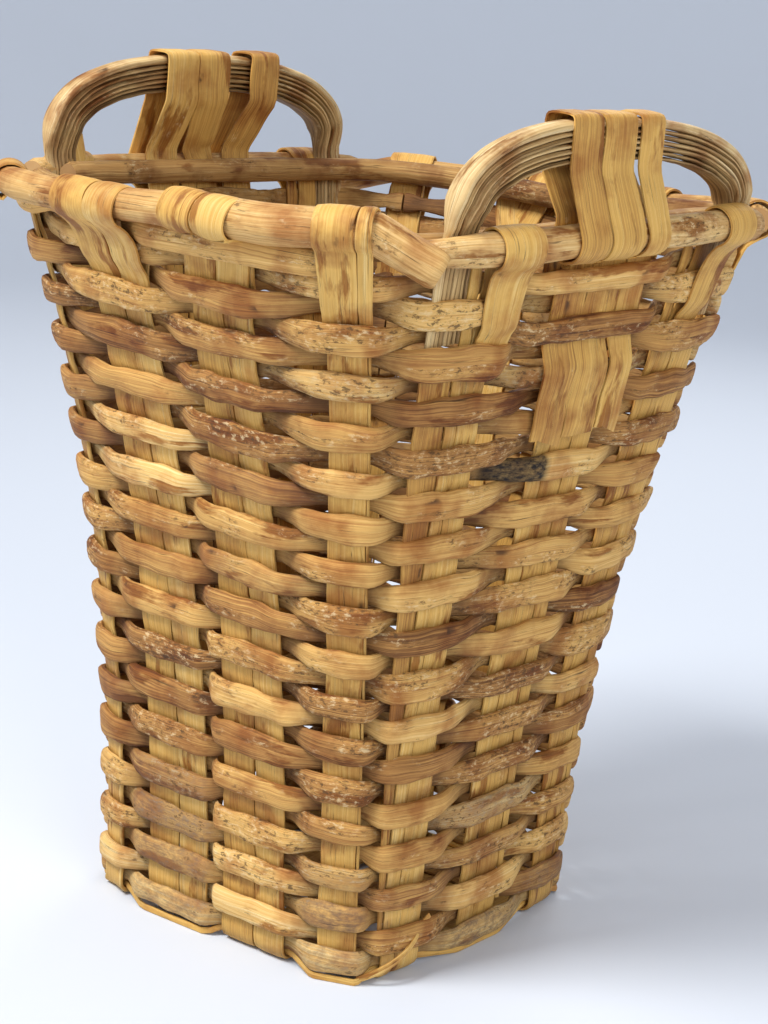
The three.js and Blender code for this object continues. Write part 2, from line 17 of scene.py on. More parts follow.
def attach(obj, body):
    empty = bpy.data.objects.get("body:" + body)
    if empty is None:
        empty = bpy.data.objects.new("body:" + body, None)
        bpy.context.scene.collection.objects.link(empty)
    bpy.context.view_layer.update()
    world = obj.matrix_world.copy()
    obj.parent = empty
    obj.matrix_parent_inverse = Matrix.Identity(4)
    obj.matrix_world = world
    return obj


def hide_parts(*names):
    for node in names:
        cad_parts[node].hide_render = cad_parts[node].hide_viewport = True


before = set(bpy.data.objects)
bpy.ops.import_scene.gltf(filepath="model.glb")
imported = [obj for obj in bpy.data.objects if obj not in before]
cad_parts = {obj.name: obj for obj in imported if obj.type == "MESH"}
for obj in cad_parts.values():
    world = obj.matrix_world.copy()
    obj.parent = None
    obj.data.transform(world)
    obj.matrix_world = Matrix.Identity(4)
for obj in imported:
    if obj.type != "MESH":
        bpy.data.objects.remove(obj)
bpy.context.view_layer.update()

# %% [markdown]
# ## Camera
# The camera comes first, so that every piece can be compared with the photograph. Its place
# was fitted to the rim, the base, the rows and the handles: a long lens, a little above the
# rim, looking at the corner between a plain side and a handle side, rolled by a few degrees.

# %% Camera
MM = 0.001
IMAGE_WIDTH, IMAGE_HEIGHT = 768, 1024
CAMERA_AZIMUTH = math.radians(45.32)
CAMERA_PITCH = math.radians(13.79)
CAMERA_ROLL = math.radians(4.53)
CAMERA_DISTANCE = 1968.1 * MM
CAMERA_TARGET_HEIGHT = 325.6 * MM
CAMERA_TARGET_RIGHT = 19.4 * MM
FOCAL_PIXELS = 2438.3
SENSOR = 36.0

back = Vector((
    math.sin(CAMERA_AZIMUTH) * math.cos(CAMERA_PITCH),
    -math.cos(CAMERA_AZIMUTH) * math.cos(CAMERA_PITCH),
    math.sin(CAMERA_PITCH),
))
level_right = Vector((math.cos(CAMERA_AZIMUTH), math.sin(CAMERA_AZIMUTH), 0))
level_up = back.cross(level_right)
right = math.cos(CAMERA_ROLL) * level_right + math.sin(CAMERA_ROLL) * level_up
up = back.cross(right)
place = Vector((0, 0, CAMERA_TARGET_HEIGHT)) + level_right * CAMERA_TARGET_RIGHT
place += back * CAMERA_DISTANCE
camera_data = bpy.data.cameras.new("camera")
camera_data.sensor_width = SENSOR
camera_data.lens = FOCAL_PIXELS * SENSOR / max(IMAGE_WIDTH, IMAGE_HEIGHT)
camera = bpy.data.objects.new("camera", camera_data)
bpy.context.scene.collection.objects.link(camera)
camera.matrix_world = Matrix((
    (right.x, up.x, back.x, place.x),
    (right.y, up.y, back.y, place.y),
    (right.z, up.z, back.z, place.z),
    (0, 0, 0, 1),
))
bpy.context.scene.camera = camera
print("lens", round(camera_data.lens, 1), "mm at", [round(v, 3) for v in place])

# %% [markdown]
# ## The wall's shape
# A superellipse, a square with round corners, grows from the base to the rim. The base lies
# turned by a few degrees against the rim, as on many hand-made baskets. These are the packed
# model's own sizes, in millimetres, so that what is made here fits over it.

# %% Sizes of the wall
BASE_HALF, RIM_HALF, RIM_HEIGHT = 147, 230, 575
FLARE_POWER = 2.0
BASE_SQUARENESS, RIM_SQUARENESS = 6.0, 4.5
BASE_TURN = math.radians(8.5)
SPLINT = 3.2
GAP = 0.3
ROWS, FIRST_ROW, ROW_PITCH = 31, 16, 17.6
RIM_ROD, INNER_ROD = 12, 10
# How much higher the top of the right side stands, in millimetres, by polar angle in degrees.
LIFT_ANGLES, LIFTS = (-60, -45, -27, 0, 27, 45, 60, 85), (0, 3, 7, 12, 16, 13, 8, 0)
LIFT_FROM = 420


def rise(z):
    """How far up the wall a height lies, from 0 at the ground to 1 at the rim."""
    return np.clip(z / RIM_HEIGHT, 0, 1.1)


def half_width(z):
    """The wall leans out more and more towards the rim."""
    return BASE_HALF + (RIM_HALF - BASE_HALF) * rise(z) ** FLARE_POWER


def squareness(z):
    """The superellipse's power: 2 would be a circle, and more makes squarer corners."""
    return BASE_SQUARENESS + (RIM_SQUARENESS - BASE_SQUARENESS) * rise(z)


def wall_lift(angle, z):
    """The lift starts low on the wall and is whole at the rim."""
    degrees = np.mod(np.degrees(angle) + 180, 360) - 180
    share = np.clip((z - LIFT_FROM) / (RIM_HEIGHT - LIFT_FROM), 0, 1)
    return np.interp(degrees, LIFT_ANGLES, LIFTS) * share


def wall_point(angle, z):
    """The wall's middle at a polar angle, which the base's turn is then added to."""
    angle, z = np.broadcast_arrays(np.asarray(angle, float), np.asarray(z, float))
    power = squareness(z)
    reach = np.abs(np.cos(angle)) ** power + np.abs(np.sin(angle)) ** power
    reach = half_width(z) * reach ** (-1 / power)
    turned = angle + BASE_TURN * (1 - rise(z))
    return np.stack([reach * np.cos(turned), reach * np.sin(turned), z + wall_lift(angle, z)],
                    -1)


print("mouth half width", RIM_HALF, "base half width", BASE_HALF)

# %% [markdown]
# What lies on the wall needs to know which way the wall faces there. So each place has a frame
# of three directions, and lengths along the wall are measured on a line of close points.

# %% Directions on the wall
def unit(v):
    """The same directions with length 1."""
    return v / np.linalg.norm(v, axis=-1, keepdims=True)


def lengths(points):
    """How far each point lies along the line through them all."""
    steps = np.linalg.norm(np.diff(points, axis=0), axis=1)
    return np.concatenate([[0], np.cumsum(steps)])


def round_the_wall(z, first, last, count):
    """Angles from one to another, in degrees, and how far round the wall each one lies."""
    angles = np.radians(np.linspace(first, last, count))
    return angles, lengths(wall_point(angles, z))


def wall_frame(angle, z):
    """Point, direction along the wall, up its slope, and out of it."""
    along = unit(wall_point(angle + 0.002, z) - wall_point(angle - 0.002, z))
    slope = wall_point(angle, z + 1.0) - wall_point(angle, z - 1.0)
    out = unit(np.cross(along, slope))
    return wall_point(angle, z), along, np.cross(out, along), out


print("half round the rim", round(round_the_wall(RIM_HEIGHT, 0, 180, 721)[1][-1]), "mm")

# %% [markdown]
# ## The stakes' places
# Fourteen stakes stand round the wall, four on each plain side and three on each handle
# side. Even rows pass outside the odd stakes and inside the even ones, odd rows the other
# way, which is plain weaving, over one and under one.

# %% Stakes
# A stake's place as a share of half a side, and its width in mm. A pair is base and rim.
PLACES = {"corner": 0.80, "middle": 0.27, "flank": (0.66, 0.50), "centre": 0.0}
WIDTHS = {"corner": (30, 30), "middle": (64, 64), "flank": (42, 29), "centre": (50, 38)}
stakes = []
for side in range(4):
    if side % 2:
        kinds = [("flank", -1), ("centre", 0), ("flank", 1)]
    else:
        kinds = [("corner", -1), ("middle", -1), ("middle", 1), ("corner", 1)]
    for kind, way in kinds:
        stakes.append({"number": len(stakes), "side": side, "kind": kind, "way": way,
                       "first": way == -1 and kind != "middle",
                       "last": way == 1 and kind != "middle"})


print("stakes on the four sides", [sum(s["side"] == n for s in stakes) for n in range(4)])

# %% Where a stake stands
def stake_place(stake, z):
    place = PLACES[stake["kind"]]
    if isinstance(place, tuple):
        place = place[0] + (place[1] - place[0]) * rise(z)
    return place * stake["way"]


def stake_width(stake, z):
    low, high = WIDTHS[stake["kind"]]
    return low + (high - low) * rise(z)


def stake_angle(stake, z):
    """The polar angle of a stake's middle line on the wall."""
    place = stake_place(stake, z)
    depth = (1 - np.abs(place) ** squareness(z)) ** (1 / squareness(z))
    return np.arctan2(place, depth) + (stake["side"] - 1) * math.pi / 2


def stake_frame(stake, z):
    return wall_frame(stake_angle(stake, z), z)


def row_height(row):
    return FIRST_ROW + ROW_PITCH * row


def lies_outside(row, stake):
    """Whether a row passes outside a stake. This one rule makes the whole weave."""
    return (row + stake["number"]) % 2 == 1


def covered_row(stake):
    """The highest row that passes outside a stake, which the stake's fold covers."""
    return ROWS - 1 if lies_outside(ROWS - 1, stake) else ROWS - 2


def strap_rows(stake):
    """The two rows that hold a handle's straps."""
    return covered_row(stake), covered_row(stake) - 2


print(ROWS, "rows, the highest at", round(row_height(ROWS - 1)), "mm")

# %% [markdown]
# ## Making a strand
# Every strand of this basket, round or flat, is a section carried along a path. A primitive
# can't follow a path that goes over and under, so the strand's mesh is laid out ring by ring.
# Its UV map is in metres, along the strand and round it, so that grain can run along the wood.
# Marks are values kept on the points: how light, fresh, burnt, old or barked the wood is, and how
# much painted shade lies on it.

# %% Slow random waves
# One mark holds painted shade: darker wood under and behind the rods, inside the rim and on the
# stakes beside the rods.
MARKS = ("tone", "fresh", "dirt", "burnt", "aged", "bark")


def waves(length, count, seed):
    """Smooth random numbers along a strand, between about -1 and 1."""
    random = np.random.default_rng(seed)
    x = np.asarray(length, float)
    total = np.zeros_like(x)
    for _ in range(count):
        wavelength = random.uniform(25, 160)
        total += np.sin(2 * math.pi * x / wavelength + random.uniform(0, 2 * math.pi))
    return total / count ** 0.5 / 1.4


def ease(t):
    """Turns an even run from 0 to 1 into one that starts and stops softly."""
    return t * t * (3 - 2 * t)


print("waves at 0, 50 and 100 mm", np.round(waves([0, 50, 100], 4, 1), 2))

# %% One strand
def strand(rings, tone=0.5, shift=0.0, **marks):
    """Rings of points, in millimetres, as (stations, sides, 3). Returns a part of a mesh."""
    rings = np.asarray(rings, float)
    stations, sides = rings.shape[:2]
    along = lengths(rings.mean(1))
    widest = int(np.argmax(np.linalg.norm(rings - np.roll(rings, 1, 1), axis=2).sum(1)))
    edge = np.linalg.norm(np.roll(rings[widest], -1, 0) - rings[widest], axis=1)
    around = np.concatenate([[0], np.cumsum(edge)])
    i, k = np.meshgrid(np.arange(stations - 1), np.arange(sides), indexing="ij")
    i, k = i.ravel(), k.ravel()
    following = (k + 1) % sides
    quads = np.stack([i * sides + k, i * sides + following,
                      (i + 1) * sides + following, (i + 1) * sides + k], 1)
    uvs = np.stack([
        np.stack([along[i], around[k]], 1), np.stack([along[i], around[k + 1]], 1),
        np.stack([along[i + 1], around[k + 1]], 1), np.stack([along[i + 1], around[k]], 1),
    ], 1)
    spread = {name: np.zeros((stations, sides)) for name in MARKS}
    spread["tone"] += tone
    for name, values in marks.items():
        values = np.asarray(values, float)
        spread[name] += values[:, None] if values.ndim == 1 else values
    return {"points": rings.reshape(-1, 3), "quads": quads, "uvs": uvs * MM, "sides": sides,
            "stations": stations, "shift": shift,
            "marks": {name: values.ravel() for name, values in spread.items()}}


print("marks on a strand", MARKS)

# %% [markdown]
# A piece is often several strands: a row has three or four rods, and a splint is two strips.
# Their meshes are joined as they are written. Each strand is closed by a flat face at both
# ends, whose own mark, "end", lets the material show the cut wood there. The edit mode makes
# all faces point outwards, and shading is smooth except at edges sharper than 50 degrees.

# %% Strands to a piece
SMOOTH_BELOW = math.radians(50)


def make_piece(name, strands, material, replaces):
    """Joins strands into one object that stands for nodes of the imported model."""
    points, faces, uvs, ends = [], [], [], []
    marks = {mark: [] for mark in MARKS}
    base = 0
    for part in strands:
        last = base + (part["stations"] - 1) * part["sides"]
        first_cap = [base + n for n in range(part["sides"])][::-1]
        last_cap = [last + n for n in range(part["sides"])]
        faces += (part["quads"] + base).tolist() + [first_cap, last_cap]
        uvs += (part["uvs"] + np.array([part["shift"], 0])).reshape(-1, 2).tolist()
        for cap in (first_cap, last_cap):
            local = np.array([part["points"][n - base] for n in cap]) * MM
            centre = local.mean(0)
            uvs += [[float(np.linalg.norm(p - centre)), part["shift"]] for p in local]
        ends += [0.0] * len(part["quads"]) + [1.0, 1.0]
        for mark in MARKS:
            marks[mark].append(part["marks"][mark])
        points.append(part["points"] * MM)
        base += len(part["points"])
    mesh = bpy.data.meshes.new(name)
    mesh.from_pydata(np.vstack(points).tolist(), [], faces)
    layer = mesh.uv_layers.new(name="grain")
    layer.data.foreach_set("uv", np.asarray(uvs, np.float32).ravel())
    for mark in MARKS:
        mesh.attributes.new(mark, "FLOAT", "POINT").data.foreach_set(
            "value", np.concatenate(marks[mark]))
    mesh.attributes.new("end", "FLOAT", "FACE").data.foreach_set("value", ends)
    piece = bpy.data.objects.new(name, mesh)
    bpy.context.scene.collection.objects.link(piece)
    bpy.ops.object.select_all(action="DESELECT")
    piece.select_set(True)
    bpy.context.view_layer.objects.active = piece
    bpy.ops.object.mode_set(mode="EDIT")
    bpy.ops.mesh.select_all(action="SELECT")
    bpy.ops.mesh.normals_make_consistent(inside=False)
    bpy.ops.object.mode_set(mode="OBJECT")
    bpy.ops.object.shade_smooth_by_angle(angle=SMOOTH_BELOW)
    mesh.materials.append(material)
    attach(piece, "root")
    if replaces:
        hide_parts(*replaces)
    return piece


print("smooth below", round(math.degrees(SMOOTH_BELOW)), "degrees")

# %% Softening a path
def smooth_path(points, rounds=2, step=14):
    """Adds points to long stretches of a path, then cuts its corners round."""
    points = np.asarray(points, float)
    dense = [points[0]]
    for a, b in zip(points[:-1], points[1:]):
        cuts = max(1, int(np.linalg.norm((b - a)[:3]) / step))
        dense += [a + (b - a) * (n + 1) / cuts for n in range(cuts)]
    points = np.array(dense)
    for _ in range(rounds):
        near = points[:-1] * 0.75 + points[1:] * 0.25
        far = points[:-1] * 0.25 + points[1:] * 0.75
        inner = np.stack([near, far], 1).reshape(-1, points.shape[1])
        points = np.vstack([points[:1], inner, points[-1:]])
    return points


corner = smooth_path([(0, 0, 0), (10, 0, 0), (10, 10, 0)], rounds=1)
print("a corner is cut round by", len(corner), "points")

# %% [markdown]
# ## Wood finishes
# The splints are split along the grain and left raw: straw coloured, with straight darker
# fibres and a few dry cracks. The rods still carry patches of thin bark and small knots, and
# are browner. Where a rod was split, its flat inner face is a fresher orange brown.

# %% Colour and node helpers
def colour(code):
    """An sRGB hex colour as linear numbers."""
    parts = [int(code[i:i + 2], 16) / 255 for i in (1, 3, 5)]
    linear = [v / 12.92 if v <= 0.04045 else ((v + 0.055) / 1.055) ** 2.4 for v in parts]
    return (*linear, 1.0)


def add_node(tree, kind, settings=None, **links):
    """Adds a node. Settings name its properties or sockets, and links give sockets to join."""
    made = tree.nodes.new(kind)
    for name, value in (settings or {}).items():
        if isinstance(name, str) and hasattr(made, name):
            setattr(made, name, value)
        else:
            made.inputs[name].default_value = value
    for name, socket in links.items():
        key = int(name[1:]) if name[0] == "i" and name[1:].isdigit() else name.replace("_", " ")
        tree.links.new(socket, made.inputs[key])
    return made


def set_ramp(made, stops):
    ramp = made.color_ramp
    while len(ramp.elements) < len(stops):
        ramp.elements.new(1.0)
    for element, (position, code) in zip(ramp.elements, stops):
        element.position = position
        element.color = colour(code)


print("straw in linear numbers", [round(v, 3) for v in colour("#d7a755")])

# %% [markdown]
# All the woods are built alike, from noise on each strand's own UV map, stretched along the
# strand. The map is in metres, so a noise scale of 900 across is a fibre 1 mm wide, and one of
# 12 along lets it run on for 80 mm. Bark flakes are 5 by 8 mm, stains 30 by 90 mm, and dry
# cracks are hairlines, found where a slow noise passes its middle. Each strand's tone moves
# its whole colour. What lies over the plain wood is a list of layers: a colour, the pattern
# that it follows, the stretch of that pattern that turns into a share, and what holds it back.

# %% Patterns in the wood
# Noise on the UV map: its scale along and across the strand per metre, detail and roughness.
NOISES = {"fine": ((12, 900), 4, 0.6), "streak": ((5, 400), 3, 0.6),
          "flake": ((130, 210), 6, 0.7), "stain": ((11, 34), 5, 0.6),
          "cluster": ((13, 22), 3, 0.6), "drift": ((5, 330), 2, 0.5)}
KNOT_SCALE = (14, 40)


def wood_patterns(node, flake_share):
    """Every pattern and mark that a layer can follow, by name, as sockets."""
    uv = node("ShaderNodeUVMap", {"uv_map": "grain"}).outputs["UV"]
    place = node("ShaderNodeTexCoord").outputs["Object"]
    found = {mark: node("ShaderNodeAttribute", {"attribute_name": mark}).outputs["Fac"]
             for mark in MARKS + ("end",)}
    bend = node("ShaderNodeTexNoise", {"Scale": 30, "Detail": 1}, Vector=uv)
    wavy = node("ShaderNodeVectorMath", {"operation": "MULTIPLY_ADD", 1: (0.0, 0.004, 0.0)},
                i0=bend.outputs["Color"], i2=uv).outputs[0]
    for name, (scale, detail, roughness) in NOISES.items():
        spot = node("ShaderNodeMapping", {"Scale": (*scale, 1)}, Vector=wavy).outputs[0]
        found[name] = node("ShaderNodeTexNoise",
                           {"Scale": 1, "Detail": detail, "Roughness": roughness},
                           Vector=spot).outputs["Fac"]
    found["patches"] = node("ShaderNodeTexNoise", {"Scale": 30, "Detail": 5},
                            Vector=place).outputs["Fac"]
    spot = node("ShaderNodeMapping", {"Scale": (*KNOT_SCALE, 1)}, Vector=wavy).outputs[0]
    found["dots"] = node("ShaderNodeTexVoronoi", {"voronoi_dimensions": "2D", "Scale": 1},
                         Vector=spot).outputs["Distance"]
    off_middle = node("ShaderNodeMath", {"operation": "SUBTRACT", 1: 0.5}, i0=found["drift"])
    found["hair"] = node("ShaderNodeMath", {"operation": "ABSOLUTE"},
                         i0=off_middle.outputs[0]).outputs[0]
    found["barked"] = node("ShaderNodeMath", {"operation": "MULTIPLY_ADD", 1: 0.2},
                           i0=found["bark"], i2=found["cluster"]).outputs[0]
    for name, source, low, high in (
            ("barky places", "barked", 0.58 - flake_share, 0.66 - flake_share),
            ("dry places", "streak", 0.5, 0.58), ("few places", "patches", 0.60, 0.64)):
        found[name] = node("ShaderNodeMapRange", {"From Min": low, "From Max": high},
                           Value=found[source]).outputs[0]
    found["grain"] = node("ShaderNodeMix", {"data_type": "FLOAT", "Factor": 0.5},
                          i2=found["fine"], i3=found["streak"]).outputs[0]
    return found


print("noises", list(NOISES))

# %% Skin of the wood
BUMP_HEIGHT, BUMP_STRENGTH, CRACK_DEPTH = 0.0016, 0.7, 1.2


def wood_skin(node, pattern, cracks, relief):
    """Raised grain, sunk cracks and, in barky places, a skin of rough flakes."""
    cracked = node("ShaderNodeMath", {"operation": "MULTIPLY_ADD", 1: -CRACK_DEPTH},
                   i0=cracks, i2=pattern["grain"]).outputs[0]
    bark_share = node("ShaderNodeMapRange", {"To Min": 0.25}, Value=pattern["barky places"])
    rough_bark = node("ShaderNodeMath", {"operation": "MULTIPLY"}, i0=pattern["flake"],
                      i1=bark_share.outputs[0]).outputs[0]
    height = node("ShaderNodeMath", {"operation": "MULTIPLY_ADD", 1: relief},
                  i0=rough_bark, i2=cracked).outputs[0]
    return node("ShaderNodeBump", {"Strength": BUMP_STRENGTH, "Distance": BUMP_HEIGHT},
                Height=height).outputs[0]


print("the skin is", BUMP_HEIGHT / MM, "mm deep at most")

# %% Layers over the plain wood
# Each layer's colour, the pattern that it follows, the stretch of that pattern with the share
# at both its ends, the place that it keeps to, and how it is mixed. Where there is no colour,
# each wood has its own.
LAYERS = {
    "blush": ("#b58252", "patches", (0.46, 0.68, 0, 0.7), None, "MULTIPLY"),
    "stain": ("#ad8550", "stain", (0.57, 0.63, 0, 0.85), None, "MULTIPLY"),
    "light bark": (None, "flake", (0.54, 0.62, 0, 0.6), "barky places", "MIX"),
    "dark bark": (None, "flake", (0.46, 0.40, 0, 0.8), "barky places", "MIX"),
    "crack": ("#3c2614", "hair", (0.002, 0.007, 0.75, 0), "dry places", "MIX"),
    "knot": ("#3f2815", "dots", (0.04, 0.15, 0.8, 0), "few places", "MIX"),
    "fresh wood": (None, "streak", (0.25, 0.75, 0.3, 0.9), "fresh", "MIX"),
    "cut end": ("#a98257", "fine", (0.3, 0.7, 0.5, 0.9), "end", "MIX"),
    "old wood": ("#644c40", "flake", (0.35, 0.6, 0.1, 0.75), "aged", "MIX"),
    # Painted shade: a dark brown laid over the wood where the mark of painted shade is set.
    "dirt": ("#4d3520", "patches", (0.3, 0.6, 0.35, 0.8), "dirt", "MIX"),
    "charred": ("#1d1512", "flake", (0.3, 0.6, 0.6, 1.0), "burnt", "MIX"),
}
print("layers", list(LAYERS))

# %% Wood material
FIBRE_STOPS = (0.0, 0.28, 0.52, 0.76, 1.0)
TONE_RANGE = 0.7


def make_wood(name, fibres, contrast, flakes, flake_share, fresh_colour, roughness, relief):
    """Fibres are five colours from dark to pale. Flakes are the dark and the light bark."""
    material = bpy.data.materials.new(name)
    material.use_nodes = True
    tree = material.node_tree
    shader = tree.nodes["Principled BSDF"]
    node = partial(add_node, tree)
    pattern = wood_patterns(node, flake_share)
    stretched = node("ShaderNodeMapRange", {"From Min": 0.5 - 0.5 / contrast,
                                            "From Max": 0.5 + 0.5 / contrast},
                     Value=pattern["grain"]).outputs[0]
    toned = node("ShaderNodeMath", {"operation": "MULTIPLY_ADD", 1: TONE_RANGE},
                 i0=pattern["tone"], i2=stretched).outputs[0]
    lowered = node("ShaderNodeMath", {"operation": "SUBTRACT", 1: TONE_RANGE / 2},
                   i0=toned).outputs[0]
    base = node("ShaderNodeValToRGB", Fac=lowered)
    set_ramp(base, list(zip(FIBRE_STOPS, fibres)))
    own = {"light bark": flakes[1], "dark bark": flakes[0], "fresh wood": fresh_colour}
    done, shares = base.outputs[0], {}
    for layer, (code, source, (low, high, least, most), held, mode) in LAYERS.items():
        share = node("ShaderNodeMapRange", {"From Min": low, "From Max": high,
                                            "To Min": least, "To Max": most},
                     Value=pattern[source]).outputs[0]
        if held:
            share = node("ShaderNodeMath", {"operation": "MULTIPLY"}, i0=share,
                         i1=pattern[held]).outputs[0]
        shares[layer] = share
        done = node("ShaderNodeMix", {"data_type": "RGBA", "blend_type": mode,
                                      7: colour(code or own[layer])},
                    i0=share, i6=done).outputs[2]
    tree.links.new(done, shader.inputs["Base Color"])
    skin = wood_skin(node, pattern, shares["crack"], relief)
    tree.links.new(skin, shader.inputs["Normal"])
    shader.inputs["Roughness"].default_value = roughness
    shader.inputs["Specular IOR Level"].default_value = 0.3
    return material


print("a wood has", len(MARKS), "marks,", len(NOISES), "noises and", len(LAYERS), "layers")

# %% [markdown]
# The woven rods are split chestnut shoots, dried in their thin bark. The splints are chestnut
# riven along the grain. The rim's round rods are whole branches that keep more bark, and hands
# have worn the handles' split rods. Chestnut is tan, and darkens to grey brown with age.

# %% Wood finishes
# Split shoots: dull and mottled, tan to brown, with flakes of grey bark on a rough skin.
rod_wood = make_wood(
    "split_rods_with_bark", ("#6c4420", "#b07d42", "#d0a058", "#e4b76d", "#f2d597"),
    contrast=1.8, flakes=("#523a20", "#ecd2a0"), flake_share=0.05, fresh_colour="#946536",
    roughness=0.72, relief=1.3)
# Riven wood: smoother and a little glossier, straw coloured, with long straight fibres.
splint_wood = make_wood(
    "riven_splint", ("#96672f", "#c39148", "#d7a755", "#e2b665", "#edcc86"),
    contrast=2.2, flakes=("#8a6234", "#ecd6a2"), flake_share=-0.04, fresh_colour="#b27a3e",
    roughness=0.6, relief=0.4)
# Worn split rods: greyer, with dark lines of dirt in the grain between pale worn fibres.
worn_rod_wood = make_wood(
    "worn_handle_rods", ("#6d5333", "#a08051", "#c19f69", "#d4b47d", "#e6ce9c"),
    contrast=2.4, flakes=("#5f452b", "#dcc79a"), flake_share=0.0, fresh_colour="#9a6433",
    roughness=0.6, relief=0.7)
# Whole branches: pale golden, with the most bark and the roughest skin of all.
rim_wood = make_wood(
    "barked_rim_rods", ("#7e582d", "#b6884c", "#d0a463", "#e0b979", "#efd49a"),
    contrast=2.0, flakes=("#543719", "#efd9a8"), flake_share=0.06, fresh_colour="#b07a42",
    roughness=0.7, relief=1.4)
print("materials", [m.name for m in bpy.data.materials])

# %% [markdown]
# ## Woven rods
# Each row follows the wall, swings out over one stake and in behind the next, and is taller
# where it lies on a stake than where two rows squeeze past each other. Neighbouring rows
# share the same slow waves in height, as rods that were beaten down on each other do. First
# come the rods' sizes and the few that differ: old dark ones, one that was burnt, and two
# short ones under the rim.

# %% Sizes of the woven rods
ROD_DEPTH = 5.0
ROD_SQUEEZED, ROD_BULGE = 6.2, 4.3
# The flat inner face lies this share of the depth behind the section's middle.
ROD_BACK = 0.62
ROD_LEVEL = SPLINT / 2 + ROD_DEPTH * ROD_BACK
INSIDE_CLEAR = 1.4
SECTION_SIDES = 16
BURNT_ROW, BURNT_PLACE, BURNT_REACH = 22, np.array([189, -34, 403]), 36
# How dark with age a row's rod is where it lies on a stake, as on the photographed basket.
DARK_RODS = {(0, 1): 0.8, (0, 3): 0.8, (0, 5): 1.2, (2, 1): 0.9, (2, 3): 1.0, (4, 1): 1.1,
             (4, 3): 0.5, (6, 1): 0.6, (6, 5): 0.5, (1, 6): 0.8, (0, 9): 1.0, (3, 12): 0.9,
             (1, 8): 0.8, (5, 10): 0.7, (9, 0): 0.4, (20, 9): 0.5, (13, 12): 0.5}


# By stake: where a short rod under the rim starts and ends beside the stake, and the two
# places where its swelling would come down to nothing.
FILLERS = {0: (-46, 66, -70, 62), 2: (-92, 122, -94, 126)}
FILLER_HEIGHT, FILLER_ANGLES = 562.0, (-175, 0)
# The height of the front rim rod over its four stakes and at two angles past the last.
RIM_LIFTS, PAST_LAST_STAKE = (0, 3, 11, 15, 14, 14), (12, 14)
STRAP_BUNDLE_HALF = 61
print("rods", 2 * ROD_SQUEEZED, "to", 2 * (ROD_SQUEEZED + ROD_BULGE), "mm tall")

# %% What stands beside a stake
def side_splint_width(stake, z):
    """A handle's leg goes down beside its flank stake as a strip that narrows to nothing. The
    middle stake of a handle side has one such strip too, which stops under its straps."""
    if stake["kind"] == "centre":
        return np.interp(z, (30, 300, 440, 480), (5, 17, 22, 22))
    return np.interp(z, (30, 300, 430, 505), (3, 17, 27, 30))


def rim_lift(angle):
    """The front rim rod rises towards its thick end, by up to 15 mm over the last stake."""
    turned = np.mod(np.degrees(angle) + 180, 360) - 180
    knots = [float(np.degrees(stake_angle(stakes[n], RIM_HEIGHT))) for n in range(4)]
    return np.interp(turned, knots + [knots[-1] + past for past in PAST_LAST_STAKE], RIM_LIFTS)


def held_row(stake):
    """The row that a fold is tucked under. Under a short rod the fold goes less deep."""
    return covered_row(stake) - (0 if stake["number"] in FILLERS else 2)


def row_reach(stake, row):
    """How far before and after a stake's middle a row lies flat on what stands there."""
    half = float(stake_width(stake, row_height(row))) / 2
    leg = float(side_splint_width(stake, row_height(row)))
    if stake["kind"] == "centre":
        if row >= strap_rows(stake)[1] - 1:
            return STRAP_BUNDLE_HALF, STRAP_BUNDLE_HALF
        return half, half + leg
    leg = leg if stake["kind"] == "flank" else 0
    return half + (leg if stake["first"] else 0), half + (leg if stake["last"] else 0)


print("side strips", side_splint_width(stakes[4], 300), "mm wide half way up")

# %% [markdown]
# A row's line is kept as a list of knots, one for each stake: where the rod comes to lie on
# the stake and leaves it, how far out of the wall it lies there, and how it differs from its
# neighbours. Between two stakes each of these values swings softly from one to the other.

# %% A row's line
def row_curve(row):
    """Arc lengths round the wall, their angles, and the row's knots."""
    z = row_height(row)
    angles, arc = round_the_wall(z, -135, 225, 1441)
    random = np.random.default_rng(300 + row)
    knots = []
    for stake in stakes:
        centre = np.interp(float(stake_angle(stake, z)), angles, arc)
        before, after = row_reach(stake, row)
        tucked = row == held_row(stake)
        if stake["kind"] == "centre":
            tucked = row in strap_rows(stake)
        offset = -ROD_LEVEL - INSIDE_CLEAR
        if lies_outside(row, stake):
            offset = ROD_LEVEL + (SPLINT if tucked else 0)
        lift = random.uniform(-1.5, 1.5) * (1 if 0 < row < ROWS - 1 else 0.3)
        knots.append({"start": centre - before, "end": centre + after, "offset": offset,
                      "lift": lift, "size": random.uniform(0.9, 1.1),
                      "dark": DARK_RODS.get((row, stake["number"]), 0)})
    return arc, angles, knots


def stretches(s, total, knots):
    """For each stake: which points lie on it and how far along, from 0 to 1, and the same for
    the gap to the next stake. The last gap runs on past the row's own beginning."""
    for n, knot in enumerate(knots):
        following = knots[(n + 1) % len(knots)]
        next_start = following["start"] + (total if n == len(knots) - 1 else 0)
        for lap in (0, total):
            here = s + lap
            on_stake = (here >= knot["start"]) & (here <= knot["end"])
            crossing = (here > knot["end"]) & (here < next_start)
            along = (here[on_stake] - knot["start"]) / (knot["end"] - knot["start"])
            across = (here[crossing] - knot["end"]) / (next_start - knot["end"])
            yield knot, following, on_stake, along, crossing, across


def between_stakes(arc_length, total, knots, name):
    """One of the knots' values: steady on each stake, with a smooth swing to the next."""
    s = np.mod(arc_length, total)
    result = np.zeros_like(s)
    for knot, following, on_stake, _, crossing, t in stretches(s, total, knots):
        result[on_stake] = knot[name]
        result[crossing] = knot[name] + (following[name] - knot[name]) * ease(t)
    return result


def fullness(arc_length, total, knots):
    """How swollen a rod is: most where it lies on a stake, least at a stake's edge it passes
    behind, so that it tapers as it dives."""
    s = np.mod(arc_length, total)
    result = np.zeros_like(s)
    for knot, _, on_stake, along, crossing, t in stretches(s, total, knots):
        arch, outside = np.sin(math.pi * along), knot["offset"] > 0
        result[on_stake] = 0.9 + 0.1 * arch if outside else 0.75 * arch ** 0.6
        result[crossing] = 0.9 * (1 - (t if outside else 1 - t) ** 1.4)
    return result


